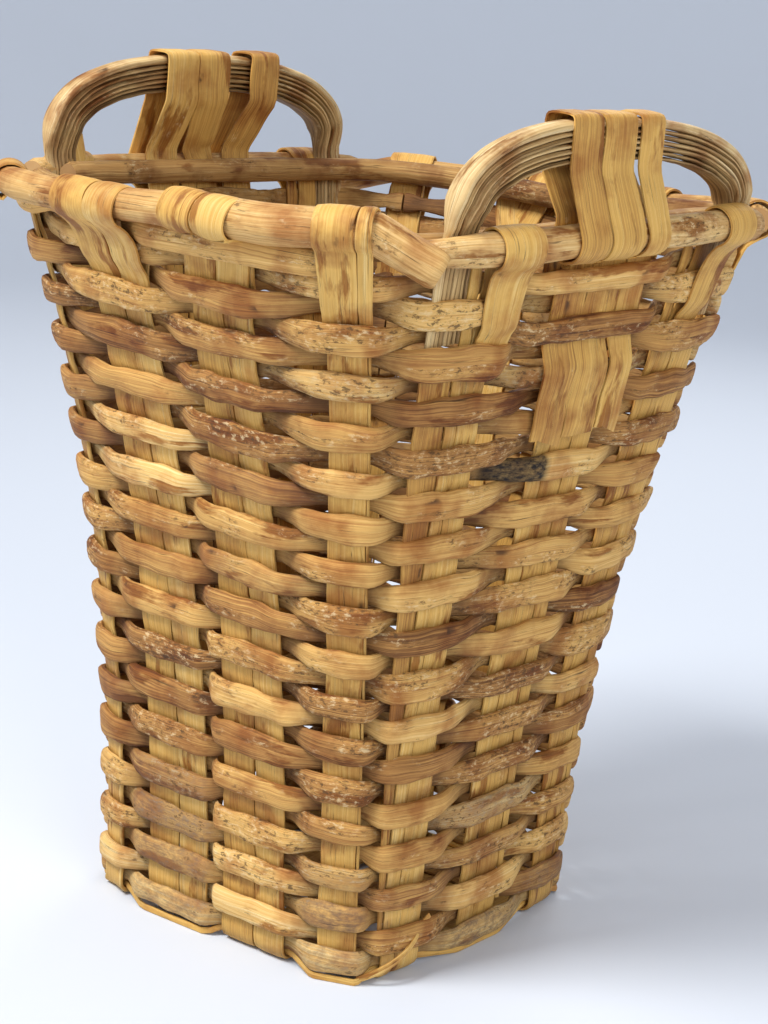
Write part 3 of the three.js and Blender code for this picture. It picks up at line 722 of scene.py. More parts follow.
arc, _, knots = row_curve(0)
print("first row", round(arc[-1]), "mm round, crossing", len(knots), "stakes")

# %% [markdown]
# The rod itself is half round: a flat inner face with a fresher colour, since that is where
# the shoot was split, and a full outer face. Slow waves make it crooked, and small ones leave
# the bumps of buds and twigs. Shade is painted on its underside, on its inner face and where it
# dives behind a stake.

# %% Marks on a rod
def rod_marks(row, rings, s, phi, share, age, seed):
    """Where a rod is fresh, old, burnt and barked, and where shade is painted on it."""
    inner_face = np.repeat((np.cos(phi) < -0.25)[None, :].astype(float), len(s), 0)
    random = np.random.default_rng(seed + 4000)
    barked = random.uniform(0.3, 0.75) if random.random() < 0.3 else random.uniform(-0.2, 0.25)
    # Painted shade on the underside of the rod, which faces down away from the light.
    under = np.clip(-np.sin(phi), 0, 1)[None, :] ** 3 * 0.45
    flayed = np.clip(waves(s, 2, seed + 5) - 0.75, 0, 1) * 1.6
    age = age + 0.25 * (random.random() < 0.12)
    burnt = 8 - 8 * np.linalg.norm(rings - BURNT_PLACE, axis=2) / BURNT_REACH
    burnt = burnt if row == BURNT_ROW else burnt * 0
    # The painted shade also darkens the inner face and the stretches where the rod thins to dive
    # behind a stake.
    return {"fresh": np.clip(0.45 * inner_face + flayed[:, None] * 0.5, 0, 1),
            "aged": np.clip(age, 0, 1), "burnt": np.clip(burnt, 0, 1),
            "bark": np.full(len(s), barked),
            "dirt": np.clip(under + 0.35 * inner_face + 1.05 - 1.25 * share[:, None], 0, 0.8)}


print("one rod is burnt in row", BURNT_ROW + 1)

# %% One rod of a row
# Powers under 1 make the section squarer than a circle, at its sides and at its front.
ROD_SIDE_POWER, ROD_FRONT_POWER = 0.74, 0.62
POINT_SPACING = 4


def rod_rings(row, start, end, size, seed, straight_from=None):
    """Rings of one rod of a row, from one arc length to another, and its marks."""
    arc, angles, knots = row_curve(row)
    total = arc[-1]
    s = np.linspace(start, end, max(12, int((end - start) / POINT_SPACING)))
    wound = s if straight_from is None else np.minimum(s, straight_from)
    lap = np.mod(wound, total)
    angle = np.interp(lap, arc, angles)
    slow = 2 * math.pi * lap / total
    lift = 1.3 * np.sin(2 * slow + 0.13 * row) + 0.9 * np.sin(5 * slow + 0.21 * row)
    lift += 0.5 * waves(s, 3, seed) + between_stakes(wound, total, knots, "lift")
    point, along, rise_way, out = wall_frame(angle, row_height(row) + lift)
    if straight_from is not None:
        point = point + along * np.maximum(s - straight_from, 0)[:, None]
    share = fullness(wound, total, knots)
    tall = (ROD_SQUEEZED + ROD_BULGE * share) * size
    tall *= between_stakes(wound, total, knots, "size") * (1 + 0.06 * waves(s, 4, seed + 1))
    deep = ROD_DEPTH * (0.78 + 0.24 * share) * (1 + 0.09 * waves(s, 4, seed + 2))
    end_round = np.minimum(np.minimum(s - s[0], s[-1] - s) / 1.2, 1)
    shrink = 0.93 + 0.07 * end_round
    phi = np.linspace(0, 2 * math.pi, SECTION_SIDES, endpoint=False)
    bumps = 1 + 0.04 * np.sin(3 * phi[None, :] + s[:, None] / 19 + seed)
    bumps = bumps + 0.03 * np.sin(2 * phi[None, :] - s[:, None] / 6 + 2.2 * seed)
    bumps = bumps + 0.02 * np.sin(5 * phi[None, :] + s[:, None] / 3.4 + 1.3 * seed)
    sine = np.sign(np.sin(phi)) * np.abs(np.sin(phi)) ** ROD_SIDE_POWER
    cosine = np.where(np.cos(phi) > 0, np.abs(np.cos(phi)) ** ROD_FRONT_POWER,
                      ROD_BACK * np.cos(phi))
    sideways = sine[None, :] * (tall * shrink)[:, None] * bumps
    outward = cosine[None, :] * (deep * shrink)[:, None] * bumps
    twist = 0.22 * waves(s, 3, seed + 3)[:, None]
    outward = outward + twist * sideways * 0.5
    centre = point + out * between_stakes(wound, total, knots, "offset")[:, None]
    rings = (centre[:, None, :] + rise_way[:, None, :] * sideways[:, :, None]
             + out[:, None, :] * outward[:, :, None])
    age = between_stakes(wound, total, knots, "dark")
    return rings, rod_marks(row, rings, s, phi, share, age, seed)


print("a rod's section has", SECTION_SIDES, "sides")

# %% [markdown]
# A row is three or four rods. Each starts and ends behind a stake, so the joins are hidden. In
# some rows one rod ends at the far corner instead, where it sticks out straight and shows its
# cut. Two short rods fill the slit between the top row and the front rim rod.

# %% Rods of a row
END_CORNER_ROWS = (29, 27, 25, 23, 19, 17, 13, 9)
CORNER_STAKE = 7


def weave_row(row):
    """The rods of one row. Each starts and ends behind a stake."""
    arc, _, knots = row_curve(row)
    total = arc[-1]
    random = np.random.default_rng(100 + row)
    behind = [s["number"] for s in stakes if not lies_outside(row, s)]
    behind = [n for n in behind if stakes[n]["kind"] != "centre" or row < ROWS - 5]
    joints = sorted(random.choice(behind, 3, replace=False).tolist())
    sticks_out = row in END_CORNER_ROWS
    if sticks_out:
        joints = sorted(set(joints) - {5} | {CORNER_STAKE})
    centres = [(knots[j]["start"] + knots[j]["end"]) / 2 for j in joints]
    parts = []
    for n, here in enumerate(centres):
        there = centres[(n + 1) % len(centres)]
        if there <= here:
            there += total
        size = random.uniform(0.93, 1.05)
        tone = random.uniform(0.0, 0.95)
        seed = row * 10 + n
        if sticks_out and joints[(n + 1) % len(joints)] == CORNER_STAKE:
            last_end = knots[CORNER_STAKE - 1]["end"]
            stop = last_end + (total if last_end < here else 0)
            rings, marks = rod_rings(row, here + 1, stop + random.uniform(20, 32), size * 1.1,
                                     seed, straight_from=stop + 2)
        else:
            rings, marks = rod_rings(row, here + 1, there - 1, size, seed)
        parts.append(strand(rings, tone, shift=seed * 0.37, **marks))
    return parts


print("rows with an end that sticks out", len(END_CORNER_ROWS))

# %% Short rods under the rim
# Half heights, half depths and how far a swollen short rod stands further out: first what
# its ends have, then what its middle adds.
FILLER_HALF, FILLER_DEEP, FILLER_OUT = (6.0, 4.6), (3.2, 1.6), (0.4, 3.6)
FILLER_FADE, FILLER_TONE = 30, 0.62


def filler_rod(number):
    """A short rod over one stake, between the top row and the rim rod."""
    start, end, fade_start, fade_end = FILLERS[number]
    spots = np.linspace(start, end, 52)
    swell = ease(np.clip(np.minimum(spots - fade_start, fade_end - spots) / FILLER_FADE,
                         0, 1))
    angles, arc = round_the_wall(FILLER_HEIGHT, *FILLER_ANGLES, 701)
    here = np.interp(float(stake_angle(stakes[number], FILLER_HEIGHT)), angles, arc) + spots
    z = FILLER_HEIGHT + 1.5 * np.sin(spots / 40)
    point, _, rise_way, out = wall_frame(np.interp(here, arc, angles), z)
    middle = point + out * (SPLINT * 1.5 + FILLER_OUT[0] + FILLER_OUT[1] * swell)[:, None]
    phi = np.linspace(0, 2 * math.pi, SECTION_SIDES, endpoint=False)
    sideways = np.sin(phi) * (FILLER_HALF[0] + FILLER_HALF[1] * swell)[:, None]
    outward = np.cos(phi) * (FILLER_DEEP[0] + FILLER_DEEP[1] * swell)[:, None]
    rings = (middle[:, None] + rise_way[:, None] * sideways[:, :, None]
             + out[:, None] * outward[:, :, None])
    return strand(rings, FILLER_TONE, shift=3.3 + number, bark=np.full(len(spots), 0.1))


print("short rods over stakes", list(FILLERS))

# %% All rows
for row in range(ROWS):
    rods = weave_row(row) + ([filler_rod(n) for n in FILLERS] if row == ROWS - 1 else [])
    make_piece(f"rods_row_{row + 1:02d}", rods, rod_wood, [f"weaver_row_{row + 1:02d}"])
print("woven rows", ROWS)

# %% [markdown]
# ## Splint stakes
# A splint is one flat strip from fold to fold: up the wall, over the rim rod and back down
# into the weave. Riven wood splits easily, so each is shown as two strips side by side, a
# broad one and a narrower one. A strip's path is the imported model's, with rounded corners,
# and its edges wander a little. A rounded slab follows it, five columns wide.

# %% Places on a strip
BEND = 8
LOW, HIGH = SPLINT / 2, SPLINT * 1.5 + GAP
RIM_OFFSET = RIM_ROD + GAP + SPLINT / 2
FOLD = (RIM_ROD + GAP) / math.cos(math.radians(22.5)) + SPLINT / 2


def station(point, across, width):
    """One place on a strip: seven numbers in a row, so that smoothing treats them alike."""
    return np.concatenate([point, across, [width]])


def on_wall(stake, z, sideways, outward, upward=0.0):
    """A place beside a stake's middle line, in millimetres along, out of and up the wall."""
    point, along, rise_way, out = stake_frame(stake, z)
    return point + along * sideways + out * outward + rise_way * upward


def rim_point(stake, degrees, sideways):
    """A point on the round of the rim rod. The angle is 0 outwards and 90 at the top."""
    angle = math.radians(degrees)
    return on_wall(stake, RIM_HEIGHT, sideways, RIM_OFFSET + FOLD * math.cos(angle),
                   FOLD * math.sin(angle))


def base_level(stake):
    """How high a splint lies on the ground at its end of the base: on another or under it."""
    return HIGH if lies_outside(0, stake) else LOW


print("fold radius", round(FOLD, 1), "mm")

# %% One strip
EDGE_WANDER, CUPPING, EDGE_SHARE = 0.05, 0.3, 0.24
# How far from a rod's middle the painted shade on a stake lies, in millimetres.
SHADE_BAND = 9


def strip_rings(path, across, widths, seed, slant=0.0, thick=SPLINT, columns=5):
    """A flat strip with softly rounded edges. Across is a unit direction at each point."""
    path, across = np.asarray(path, float), unit(np.asarray(across, float))
    along = lengths(path)
    heading = unit(np.gradient(path, axis=0))
    across = unit(across - heading * (across * heading).sum(1, keepdims=True))
    face = np.cross(heading, across)
    left = np.asarray(widths) / 2 * (1 + EDGE_WANDER * waves(along, 5, seed))
    right = np.asarray(widths) / 2 * (1 + EDGE_WANDER * waves(along, 5, seed + 1))
    cup = CUPPING * thick * waves(along, 3, seed + 2)
    columns_at = np.linspace(-1, 1, columns)
    profile = [(c, 0.5 if abs(c) < 1 else EDGE_SHARE) for c in columns_at]
    profile += [(c, -0.5 if abs(c) < 1 else -EDGE_SHARE) for c in columns_at[::-1]]
    rings = np.zeros((len(path), len(profile), 3))
    for n, (column, level) in enumerate(profile):
        reach = np.where(column < 0, left, right) * column
        lift = level * thick + cup * (1 - column * column) * 0.5
        rings[:, n] = path + across * reach[:, None] + face * lift[:, None]
        if slant:
            rings[-1, n] += heading[-1] * slant * column
    return rings


def strip(stations, tone, seed, shift, shade_from_rods=False, **shape):
    """A strand that follows stations, after their corners are cut round."""
    rows = smooth_path(stations, rounds=1, step=shape.pop("step", 9))
    rings = strip_rings(rows[:, :3], rows[:, 3:6], rows[:, 6], seed, **shape)
    # Painted shade on the strip beside the rods that cross it, if asked for.
    marks = {"dirt": rod_edge_shade(rows)} if shade_from_rods else {}
    return strand(rings, tone, shift=shift, **marks)


def rod_edge_shade(path):
    """Painted shade on a stake close above and below each rod that crosses it, more of it lower on
    the wall.
    """
    z = path[:, 2]
    beside = np.abs(np.mod(z - FIRST_ROW + ROW_PITCH, 2 * ROW_PITCH) - ROW_PITCH)
    beside = np.minimum(beside, 2 * ROW_PITCH - beside)
    more_below = np.clip(0.5 - z / 1500, 0.1, 1)
    return more_below * np.clip(1 - np.abs(beside - SHADE_BAND) / SHADE_BAND, 0, 1)


sample = strip_rings([(0, 0, 0), (10, 0, 0), (20, 0, 0)], [(0, 1, 0)] * 3, [30] * 3, 1)
print("a strip's section has", sample.shape[1], "points")

# %% Up the wall
BEND_ANGLES, WALL_STATIONS = (90, 67, 45, 22), 66
GIVE, GIVES_BELOW = 0.9, 550


def side_ways(side, turned=0.0):
    """A side's outward direction and the direction along it."""
    turn = (side - 1) * math.pi / 2 + turned
    outward = np.array([math.cos(turn), math.sin(turn), 0])
    return outward, np.array([-outward[1], outward[0], 0])


def wall_stations(stake, sideways, steps, width):
    """Stations for points given as height and distance out of the wall."""
    return [station(on_wall(stake, z, sideways, outward), stake_frame(stake, z)[1], width)
            for z, outward in steps]


def wall_rows(stake, sideways_share, share):
    """From the bend at the base to the rim. The strip gives way a little to each row."""
    bottom = base_level(stake) + BEND
    rows = []
    point, along, _, _ = stake_frame(stake, bottom)
    outward, flat_across = side_ways(stake["side"], BASE_TURN)
    width = stake_width(stake, bottom)
    for angle in np.radians(BEND_ANGLES):
        centre = point - outward * BEND * (1 - math.cos(angle))
        centre = centre - np.array([0, 0, BEND * math.sin(angle)])
        way = unit(along + (flat_across - along) * (angle / (math.pi / 2)) ** 2)
        rows.append(station(centre + way * width * sideways_share, way, width * share))
    for z in np.linspace(bottom, RIM_HEIGHT, WALL_STATIONS):
        width = float(stake_width(stake, z))
        phase = math.cos(math.pi * (z - FIRST_ROW) / ROW_PITCH)
        push = GIVE * phase * (-1 if lies_outside(0, stake) else 1) * (z < GIVES_BELOW)
        rows += wall_stations(stake, width * sideways_share, [(z, push)], width * share)
    return rows


print("a strip has", len(wall_rows(stakes[0], 0, 1)), "stations from base to rim")

# %% [markdown]
# At the rim most strips fold over the rod and are tucked in two rows lower. Each fold is given
# its own width and slant, as compared with the photograph, because hand-made folds differ.
# The far sides' folds are made up in the same manner.

# %% Folds over the rim
# For each stake, its strips' folds: how far to the side each lies at the rim and where it is
# tucked in, and its width at both places, all in millimetres.
FOLDS = {
    0: [(0, 5, 34, 30), None], 1: [(-4, -9, 40, 36), (35, 24, 35, 31)],
    2: [(-5, -16, 34, 32), (32, 18, 34, 32)], 3: [(-5, -6, 29, 24), (16, 12, 11, 9)],
    4: [(8, 13, 37, 30), None], 6: [(11, 12, 33, 27), None],
    7: [(0, -4, 34, 30), None], 8: [(-15, -20, 30, 28), (16, 12, 28, 27)],
    9: [(-15, -10, 30, 28), (16, 20, 28, 27)], 10: [(0, 3, 38, 32), None],
    11: [(-8, 0, 32, 27), None], 13: [(10, 0, 34, 28), None],
}
# Round the rim rod the fold's stations lie at these angles, 0 outwards and 90 at the top.
FOLD_ANGLES = (158, 135, 112, 90, 67, 45, 22, 0, -22, -42)
ROD_FRONT = ROD_DEPTH * 1.62
OVER_ROD = SPLINT + ROD_FRONT + 0.2
TUCKED = SPLINT + 0.2


def fold_rows(stake, fold):
    """Over the rim rod, down over one row and in under the next."""
    top_side, low_side, top_width, low_width = fold
    _, along, _, _ = stake_frame(stake, RIM_HEIGHT)
    rises = float(rim_lift(stake_angle(stake, RIM_HEIGHT))) if stake["side"] == 0 else 0.0
    rows = []
    for degrees in (*FOLD_ANGLES, -50 if stake["number"] in FILLERS else -60):
        share = np.clip((RIM_HEIGHT - rim_point(stake, degrees, 0)[2]) / 60, 0, 1)
        sideways = top_side + (low_side - top_side) * share
        point = rim_point(stake, degrees, sideways) + np.array([0, 0, rises])
        rows.append(station(point, along, top_width))
    covered, holding = row_height(covered_row(stake)), row_height(held_row(stake))
    if stake["number"] in FILLERS:
        steps = [(573, 12.0), (566, SPLINT + 0.6), (556, TUCKED), (541, TUCKED), (520, TUCKED)]
    elif covered_row(stake) == ROWS - 1:
        steps = [(556, 14.2), (546, OVER_ROD), (536, OVER_ROD - 0.8),
                 (holding + 15, SPLINT + 1), (holding + 4, TUCKED), (holding - 11, TUCKED)]
    else:
        steps = [(556, 16.0), (545, 13.2), (covered + 2, OVER_ROD), (covered - 9, OVER_ROD - 0.5),
                 (holding + 15, SPLINT + 1), (holding, TUCKED), (holding - 11, TUCKED)]
    for z, outward in steps:
        share = np.clip((RIM_HEIGHT - z) / (RIM_HEIGHT - holding), 0, 1)
        sideways = top_side + (low_side - top_side) * share
        width = top_width + (low_width - top_width) * share
        rows += wall_stations(stake, sideways, [(z, outward)], width)
    return rows


print("stakes with folds", list(FOLDS))

# %% [markdown]
# A strap goes on where a stake would fold: up over the handle's crown, down over the rim rod,
# in behind two rows, and ends over the rows below. The middle strap is the centre splint's
# own end, and the two beside it are strips of their own that start inside the rim.

# %% Strap paths
# For each strap: its place across the stake at the crown and at the rim, how far it lies
# shifted below the rim, its width at the crown and below the rim, and the height of its end.
STRAPS = {
    (1, "before"): (-42, -40, 15, 31, 35, 428), (1, "after"): (27, 28, 15, 24, 26, 433),
    (3, "before"): (-56, -42, 0, 30, 34, 436), (3, "after"): (33, 38, 0, 32, 34, 428),
}
MIDDLE_STRAPS = {1: (-8, -5, 15, 34, 35, 431), 3: (0, 0, 0, 32, 34, 431)}
HANDLE_PLANE, HANDLE_LEAN = 224.5, 4
HANDLE_DEPTH, HANDLE_CROWN, HANDLE_SPRING = 11, 652, 595
HANDLE_RODS, HANDLE_PITCH, HANDLE_ROD = 4, 7.6, 7.2
HANDLE_BUNDLE = (HANDLE_RODS - 1) * HANDLE_PITCH + HANDLE_ROD
STRAP_CLEAR = GAP + SPLINT / 2 + 1
# Where a side strap starts inside, and its turn over the crown: how far to each side, as a
# share of the half thickness it goes round, and how far below the top.
STRAP_INSIDE = (540, 552, 564, 575)
STRAP_TURN = ((-1, 4), (-0.8, 0.6), (0, 0), (0.8, 0.6), (1, 4))


def strap_path(stake, crown_side, rim_side, low_shift, crown_width, low_width, end_height,
               inner_end):
    """Up inside, over the handle, down over the rim rod and into the weave."""
    inside = [(z, 0.0) for z in STRAP_INSIDE] if inner_end else []
    rows = wall_stations(stake, rim_side, inside + [(RIM_HEIGHT + 12, 0.0)], crown_width)
    outward, along = side_ways(stake["side"])
    around = HANDLE_DEPTH + STRAP_CLEAR
    top = HANDLE_CROWN + HANDLE_BUNDLE / 2 + STRAP_CLEAR
    turn = [(off, top - down) for off, down in STRAP_TURN]
    for off, z in [(-1, HANDLE_CROWN - 22), *turn, (1, HANDLE_CROWN - 22)]:
        centre = outward * (HANDLE_PLANE + HANDLE_LEAN + around * off) + along * crown_side
        rows.append(station(centre + np.array([0, 0, z]), along, crown_width))
    _, way, _, _ = stake_frame(stake, RIM_HEIGHT)
    for degrees in (30, 5, -20, -45, -70):
        rows.append(station(rim_point(stake, degrees, rim_side), way, crown_width))
    first, second = strap_rows(stake)
    under, over = SPLINT + GAP, SPLINT + ROD_FRONT + 1.0
    steps = [(row_height(first) + 14, under), (row_height(first), under),
             (row_height(second) + 8, under + 1), (row_height(second) - 11, under),
             (row_height(second - 2) + 9, over), (row_height(second - 2), over + 0.3),
             (row_height(second - 3), over - 0.8), (row_height(second - 4) + 2, over + 0.3),
             (end_height, over - 0.3)]
    for z, outward_by in steps:
        share = np.clip((RIM_HEIGHT - z) / 50, 0, 1)
        rows += wall_stations(stake, rim_side + low_shift, [(z, outward_by)],
                              crown_width + (low_width - crown_width) * share)
    return rows


print("handle crown", HANDLE_CROWN, "mm")

# %% [markdown]
# Between its two walls a splint crosses the base, over one splint and under the next. The
# strips are made from stake to stake across the base, so each is one unbroken strand.

# %% Splints
# The place and width of a stake's two strips, as shares of its width.
SHARES = {"corner": [(-0.02, 0.94), (0.49, 0.06)], "middle": [(-0.235, 0.50), (0.26, 0.45)],
          "flank": [(-0.17, 0.62), (0.32, 0.33)], "centre": [(-0.20, 0.57), (0.29, 0.39)]}
# One strip is broken off just above the rim: by stake, its end's stations and its width.
STUBS = {13: ([(585, 0), (595, 0), (601, 0)], 13)}
# A strip that folds to the side of its place starts to lean at the first height and has
# leant fully after the second length.
LEAN_FROM, LEAN_OVER = 490, 80
CROSSING_SPACE = 1.4


def base_rows(start, end, sideways_share, share):
    """The stretch in the base. It changes level midway between two splints it crosses."""
    a, b = wall_rows(start, 0, 1)[0], wall_rows(end, 0, 1)[0]
    middle = (a[:3] + b[:3]) / 2
    heading = unit((b[:3] - a[:3]) * np.array([1, 1, 0]))
    rows = []
    crossing = [s for s in stakes if s["side"] == (1 if start["side"] % 2 == 0 else 0)]
    for n, stake in enumerate(crossing):
        place = float(stake_place(stake, 0)) * BASE_HALF
        half = float(stake_width(stake, 0)) / 2 + CROSSING_SPACE
        high = (base_level(start) == HIGH) == (n % 2 == 0)
        for distance in (place - half, place, place + half):
            centre = middle + heading * distance
            centre[2] = HIGH if high else LOW
            centre = centre + a[3:6] * a[6] * sideways_share
            rows.append(station(centre, a[3:6], a[6] * share))
    return rows


def strip_up(stake, n, place, share):
    """One strip of a splint, from the base to its end over one wall."""
    wall = wall_rows(stake, place, share)
    if stake["kind"] == "centre":
        strap = MIDDLE_STRAPS[stake["side"]]
        return wall + (strap_path(stake, *strap, False) if n == 0 else [])
    fold = FOLDS[stake["number"]][n]
    if fold:
        shift = fold[0] - float(stake_width(stake, RIM_HEIGHT)) * place
        for row in wall:
            leant = ease(np.clip((row[2] - LEAN_FROM) / LEAN_OVER, 0, 1))
            row[:3] += row[3:6] * shift * leant
        return wall + fold_rows(stake, fold)
    if stake["number"] in STUBS:
        steps, width = STUBS[stake["number"]]
        wall += wall_stations(stake, place * stake_width(stake, RIM_HEIGHT), steps, width)
    return wall


def splint_strands(start, end, shares, seed):
    """The strips of one splint. Shares gives each strip's place and width across it."""
    parts = []
    for n, (place, share) in enumerate(shares):
        second = [station(row[:3], -row[3:6], row[6]) for row in strip_up(end, n, -place, share)]
        stations = strip_up(start, n, place, share)[::-1] + base_rows(start, end, place, share)
        tone = np.random.default_rng(seed + n).uniform(0.25, 0.85)
        parts.append(strip(stations + second, tone, seed + n * 3, seed * 0.29 + n * 0.13, True))
    return parts


print("base crossings of a splint", len(base_rows(stakes[0], stakes[10], 0, 1)) // 3)

# %% Side splints
SIDE_SPLINT_FROM, SIDE_SPLINT_TO = 30, {"centre": 455, "flank": 500}


def side_splint(stake, seed):
    """The narrow strip beside a flank or centre stake. By a flank, a handle's leg stands on it."""
    way = -1 if stake["first"] else 1
    stations = []
    for z in np.linspace(SIDE_SPLINT_FROM, SIDE_SPLINT_TO[stake["kind"]], 48):
        width = float(side_splint_width(stake, z))
        middle = float(stake_width(stake, z)) / 2 + 1.2 + width / 2
        stations += wall_stations(stake, way * middle, [(z, 0.2)], width)
    return strip(stations, 0.35 + 0.2 * way, seed, seed * 0.4, True)


print("narrow strips end at", SIDE_SPLINT_TO)

# %% All splints
for from_side, course in ((0, "front_to_back"), (3, "handle_to_handle")):
    starts = [s for s in stakes if s["side"] == from_side]
    ends = [s for s in stakes if s["side"] == (from_side + 2) % 4][::-1]
    for n, (start, end) in enumerate(zip(starts, ends)):
        seed = 500 + 10 * n + 100 * from_side
        parts = splint_strands(start, end, SHARES[start["kind"]], seed)
        if from_side == 3:
            parts += [side_splint(start, seed + 7), side_splint(end, seed + 8)]
        make_piece(f"strip_{course}_{n + 1}", parts, splint_wood,
                   [f"splint_{course}_{n + 1}"])
print("splints", len(stakes) // 2)

# %% [markdown]
# ## Foot
# A thin splint is woven in below the first row. It keeps the foot's edge tight.

# %% Foot splint
# Where it lies, as height and distance out of the wall, outside a stake and inside one.
FOOT_OUTSIDE, FOOT_INSIDE, FOOT_WIDTH = (2.3, 5.0), (7.45, -6.4), 5.0
FOOT_JOIN = 0.7


def foot_stations():
    """Once round, over one stake and behind the next. Its two ends nearly meet."""
    rows = []
    for n in range(len(stakes) + 1):
        stake = stakes[n % len(stakes)]
        z, offset = FOOT_OUTSIDE if lies_outside(0, stake) else FOOT_INSIDE
        half = float(stake_width(stake, 0)) / 2 + 3
        spots = (-half, -half / 2, 0, half / 2, half)
        if n == 0:
            spots = (FOOT_JOIN, half / 2, half)
        if n == len(stakes):
            spots = (-half, -half / 2, -FOOT_JOIN)
        rise_way = stake_frame(stake, z)[2]
        rows += [station(on_wall(stake, z, sideways, offset), rise_way, FOOT_WIDTH)
                 for sideways in spots]
    return rows


def splayed_end(first, last, width, seed):
    """An end of the foot's splint that leaves the corner and slants up over the rods."""
    rows = []
    for t in np.linspace(0, 1, 9):
        angle, z = np.array(first) + (np.array(last) - np.array(first)) * t
        point, along, rise_way, out = wall_frame(math.radians(angle), z)
        outward = 5.5 + 7.5 * math.sin(math.pi * min(t * 1.15, 1))
        rows.append(station(point + out * outward, rise_way - along * 0.55, width))
    return strip(rows, 0.8, seed, seed * 0.1, step=6, thick=2.2, columns=3)


# The splayed ends run between two places, each an angle in degrees and a height.
foot_parts = [strip(foot_stations(), 0.6, 900, 0, columns=3),
              splayed_end((-45, 4), (-25, 44), 4.5, 901),
              splayed_end((-44, 4), (-29, 36), 3.5, 902)]
make_piece("foot_strip", foot_parts, splint_wood, ["foot_splint"])
print("foot splint and", len(foot_parts) - 1, "splayed ends")

# %% [markdown]
# ## Rim rods
# Four stout round rods lie outside the stakes at the rim, and two inside. They are tapered
# branches, so their ends are thinner, and each end shows its cut. The front and back ones
# run on past the corner and droop below the start of the next.

# %% Round rods
ROUND_SIDES = 16
INNER_LOWER = 7


def round_rings(path, radii, out, seed):
    """Rings of a round rod. Out is a direction that the first point of each ring lies in."""
    path = np.asarray(path, float)
    heading = unit(np.gradient(path, axis=0))
    out = unit(out - heading * (out * heading).sum(1, keepdims=True))
    other = np.cross(heading, out)
    length = lengths(path)
    radii = np.asarray(radii) * (1 + 0.03 * waves(length, 4, seed))
    # The cut ends are worn: over the last 3 mm the rod gets thinner.
    ends = np.minimum(np.minimum(length, length[-1] - length) / 3.0, 1)
    radii = radii * (0.85 + 0.15 * ends)
    phi = np.linspace(0, 2 * math.pi, ROUND_SIDES, endpoint=False)
    bumps = 1 + 0.03 * np.sin(2 * phi[None, :] + length[:, None] / 40 + seed)
    bumps = bumps + 0.02 * np.sin(5 * phi[None, :] - length[:, None] / 13 + seed)
    reach = radii[:, None] * bumps
    return (path[:, None, :] + out[:, None, :] * (np.cos(phi)[None, :] * reach)[:, :, None]
            + other[:, None, :] * (np.sin(phi)[None, :] * reach)[:, :, None])


def rim_path(first, before, last, after, offset):
    """Along the rim from beside one stake to beside another: points, outward ways, lengths."""
    angles, arc = round_the_wall(RIM_HEIGHT, -225, 495, 2881)
    start_angle = float(stake_angle(first, RIM_HEIGHT))
    stop_angle = float(stake_angle(last, RIM_HEIGHT))
    if stop_angle < start_angle:
        stop_angle += 2 * math.pi
    start = np.interp(start_angle, angles, arc) - before
    stop = np.interp(stop_angle, angles, arc) + after
    along = np.linspace(start, stop, int((stop - start) / 6))
    angle = np.interp(along, arc, angles)
    point, _, _, out = wall_frame(angle, RIM_HEIGHT)
    point = point + out * offset
    if offset < 0:
        point[:, 2] -= INNER_LOWER
    elif first["number"] == 0:
        point[:, 2] += rim_lift(angle)
    return point, out, along - start


print("a point on the rim rod lies", RIM_OFFSET, "mm out of the wall")

# %% Outer rim rods
RIM_NAMES = ("front", "right", "back", "left")
RIM_TONES = (0.55, 0.75, 0.4, 0.6)
# From a flank stake's middle to the far side of the handle's leg beside it.
FLANK_HALF = 14.5
PAST_LEG = FLANK_HALF + GAP + HANDLE_BUNDLE
# The end that droops past a corner: how far past the leg, out and down its tip lies.
DROOP_PAST, DROOP_OUT, DROOP_DOWN = 14, 8, 11


def side_rim(own):
    """The right or left rod, between the corners. Its first end is a thin one."""
    path, out, along = rim_path(own[0], PAST_LEG + 17, own[-1], PAST_LEG + 8, RIM_OFFSET)
    return path, RIM_ROD - 3.0 * np.clip(1 - along / 40, 0, 1), out


def drooping_rim(own, following, thicker):
    """The front or back rod, which runs on past the corner and droops below the next."""
    path, _, _ = rim_path(own[0], 19, own[-1], 16, RIM_OFFSET)
    point, along, rise_way, way = stake_frame(following, RIM_HEIGHT)
    tip = (point - along * (PAST_LEG + DROOP_PAST) + way * (RIM_OFFSET + DROOP_OUT)
           - rise_way * DROOP_DOWN)
    extra = np.array([path[-1] + (tip - path[-1]) * t for t in np.linspace(0, 1, 10)[1:]])
    path = smooth_path(np.vstack([path, extra]), rounds=1, step=20)
    radii = RIM_ROD + thicker * np.clip((lengths(path) - 150) / 200, 0, 1)
    return path, radii, path * np.array([1, 1, 0])


for side, side_name in enumerate(RIM_NAMES):
    own = [s for s in stakes if s["side"] == side]
    following = [s for s in stakes if s["side"] == (side + 1) % 4][0]
    if side % 2:
        path, radii, out = side_rim(own)
    else:
        path, radii, out = drooping_rim(own, following, 2.2 if side == 0 else 0)
    rod = strand(round_rings(path, radii, out, 40 + side), RIM_TONES[side], shift=side * 0.4)
    make_piece(f"rim_{side_name}", [rod], rim_wood, [f"rim_rod_{side_name}"])
print("outer rim rods", len(RIM_NAMES))

# %% Inner rim rods
# Each runs from beside one stake to past another, and carries painted shade that makes it darker
# than the outer ones.
INNER_RUNS = ((0, 6), (7, 13))
INNER_SHADE = 0.45
for half, (first, last) in enumerate(INNER_RUNS):
    path, out, _ = rim_path(stakes[first], 14, stakes[last], 38, -(INNER_ROD + GAP + 1.6))
    rings = round_rings(path, np.full(len(path), float(INNER_ROD)), out, 60 + half)
    rod = strand(rings, 0.3, shift=half * 0.7, dirt=np.full(len(path), INNER_SHADE))
    make_piece(f"rim_inner_{half + 1}", [rod], rim_wood, [f"inner_rim_rod_{half + 1}"])
print("inner rim rods", len(INNER_RUNS))

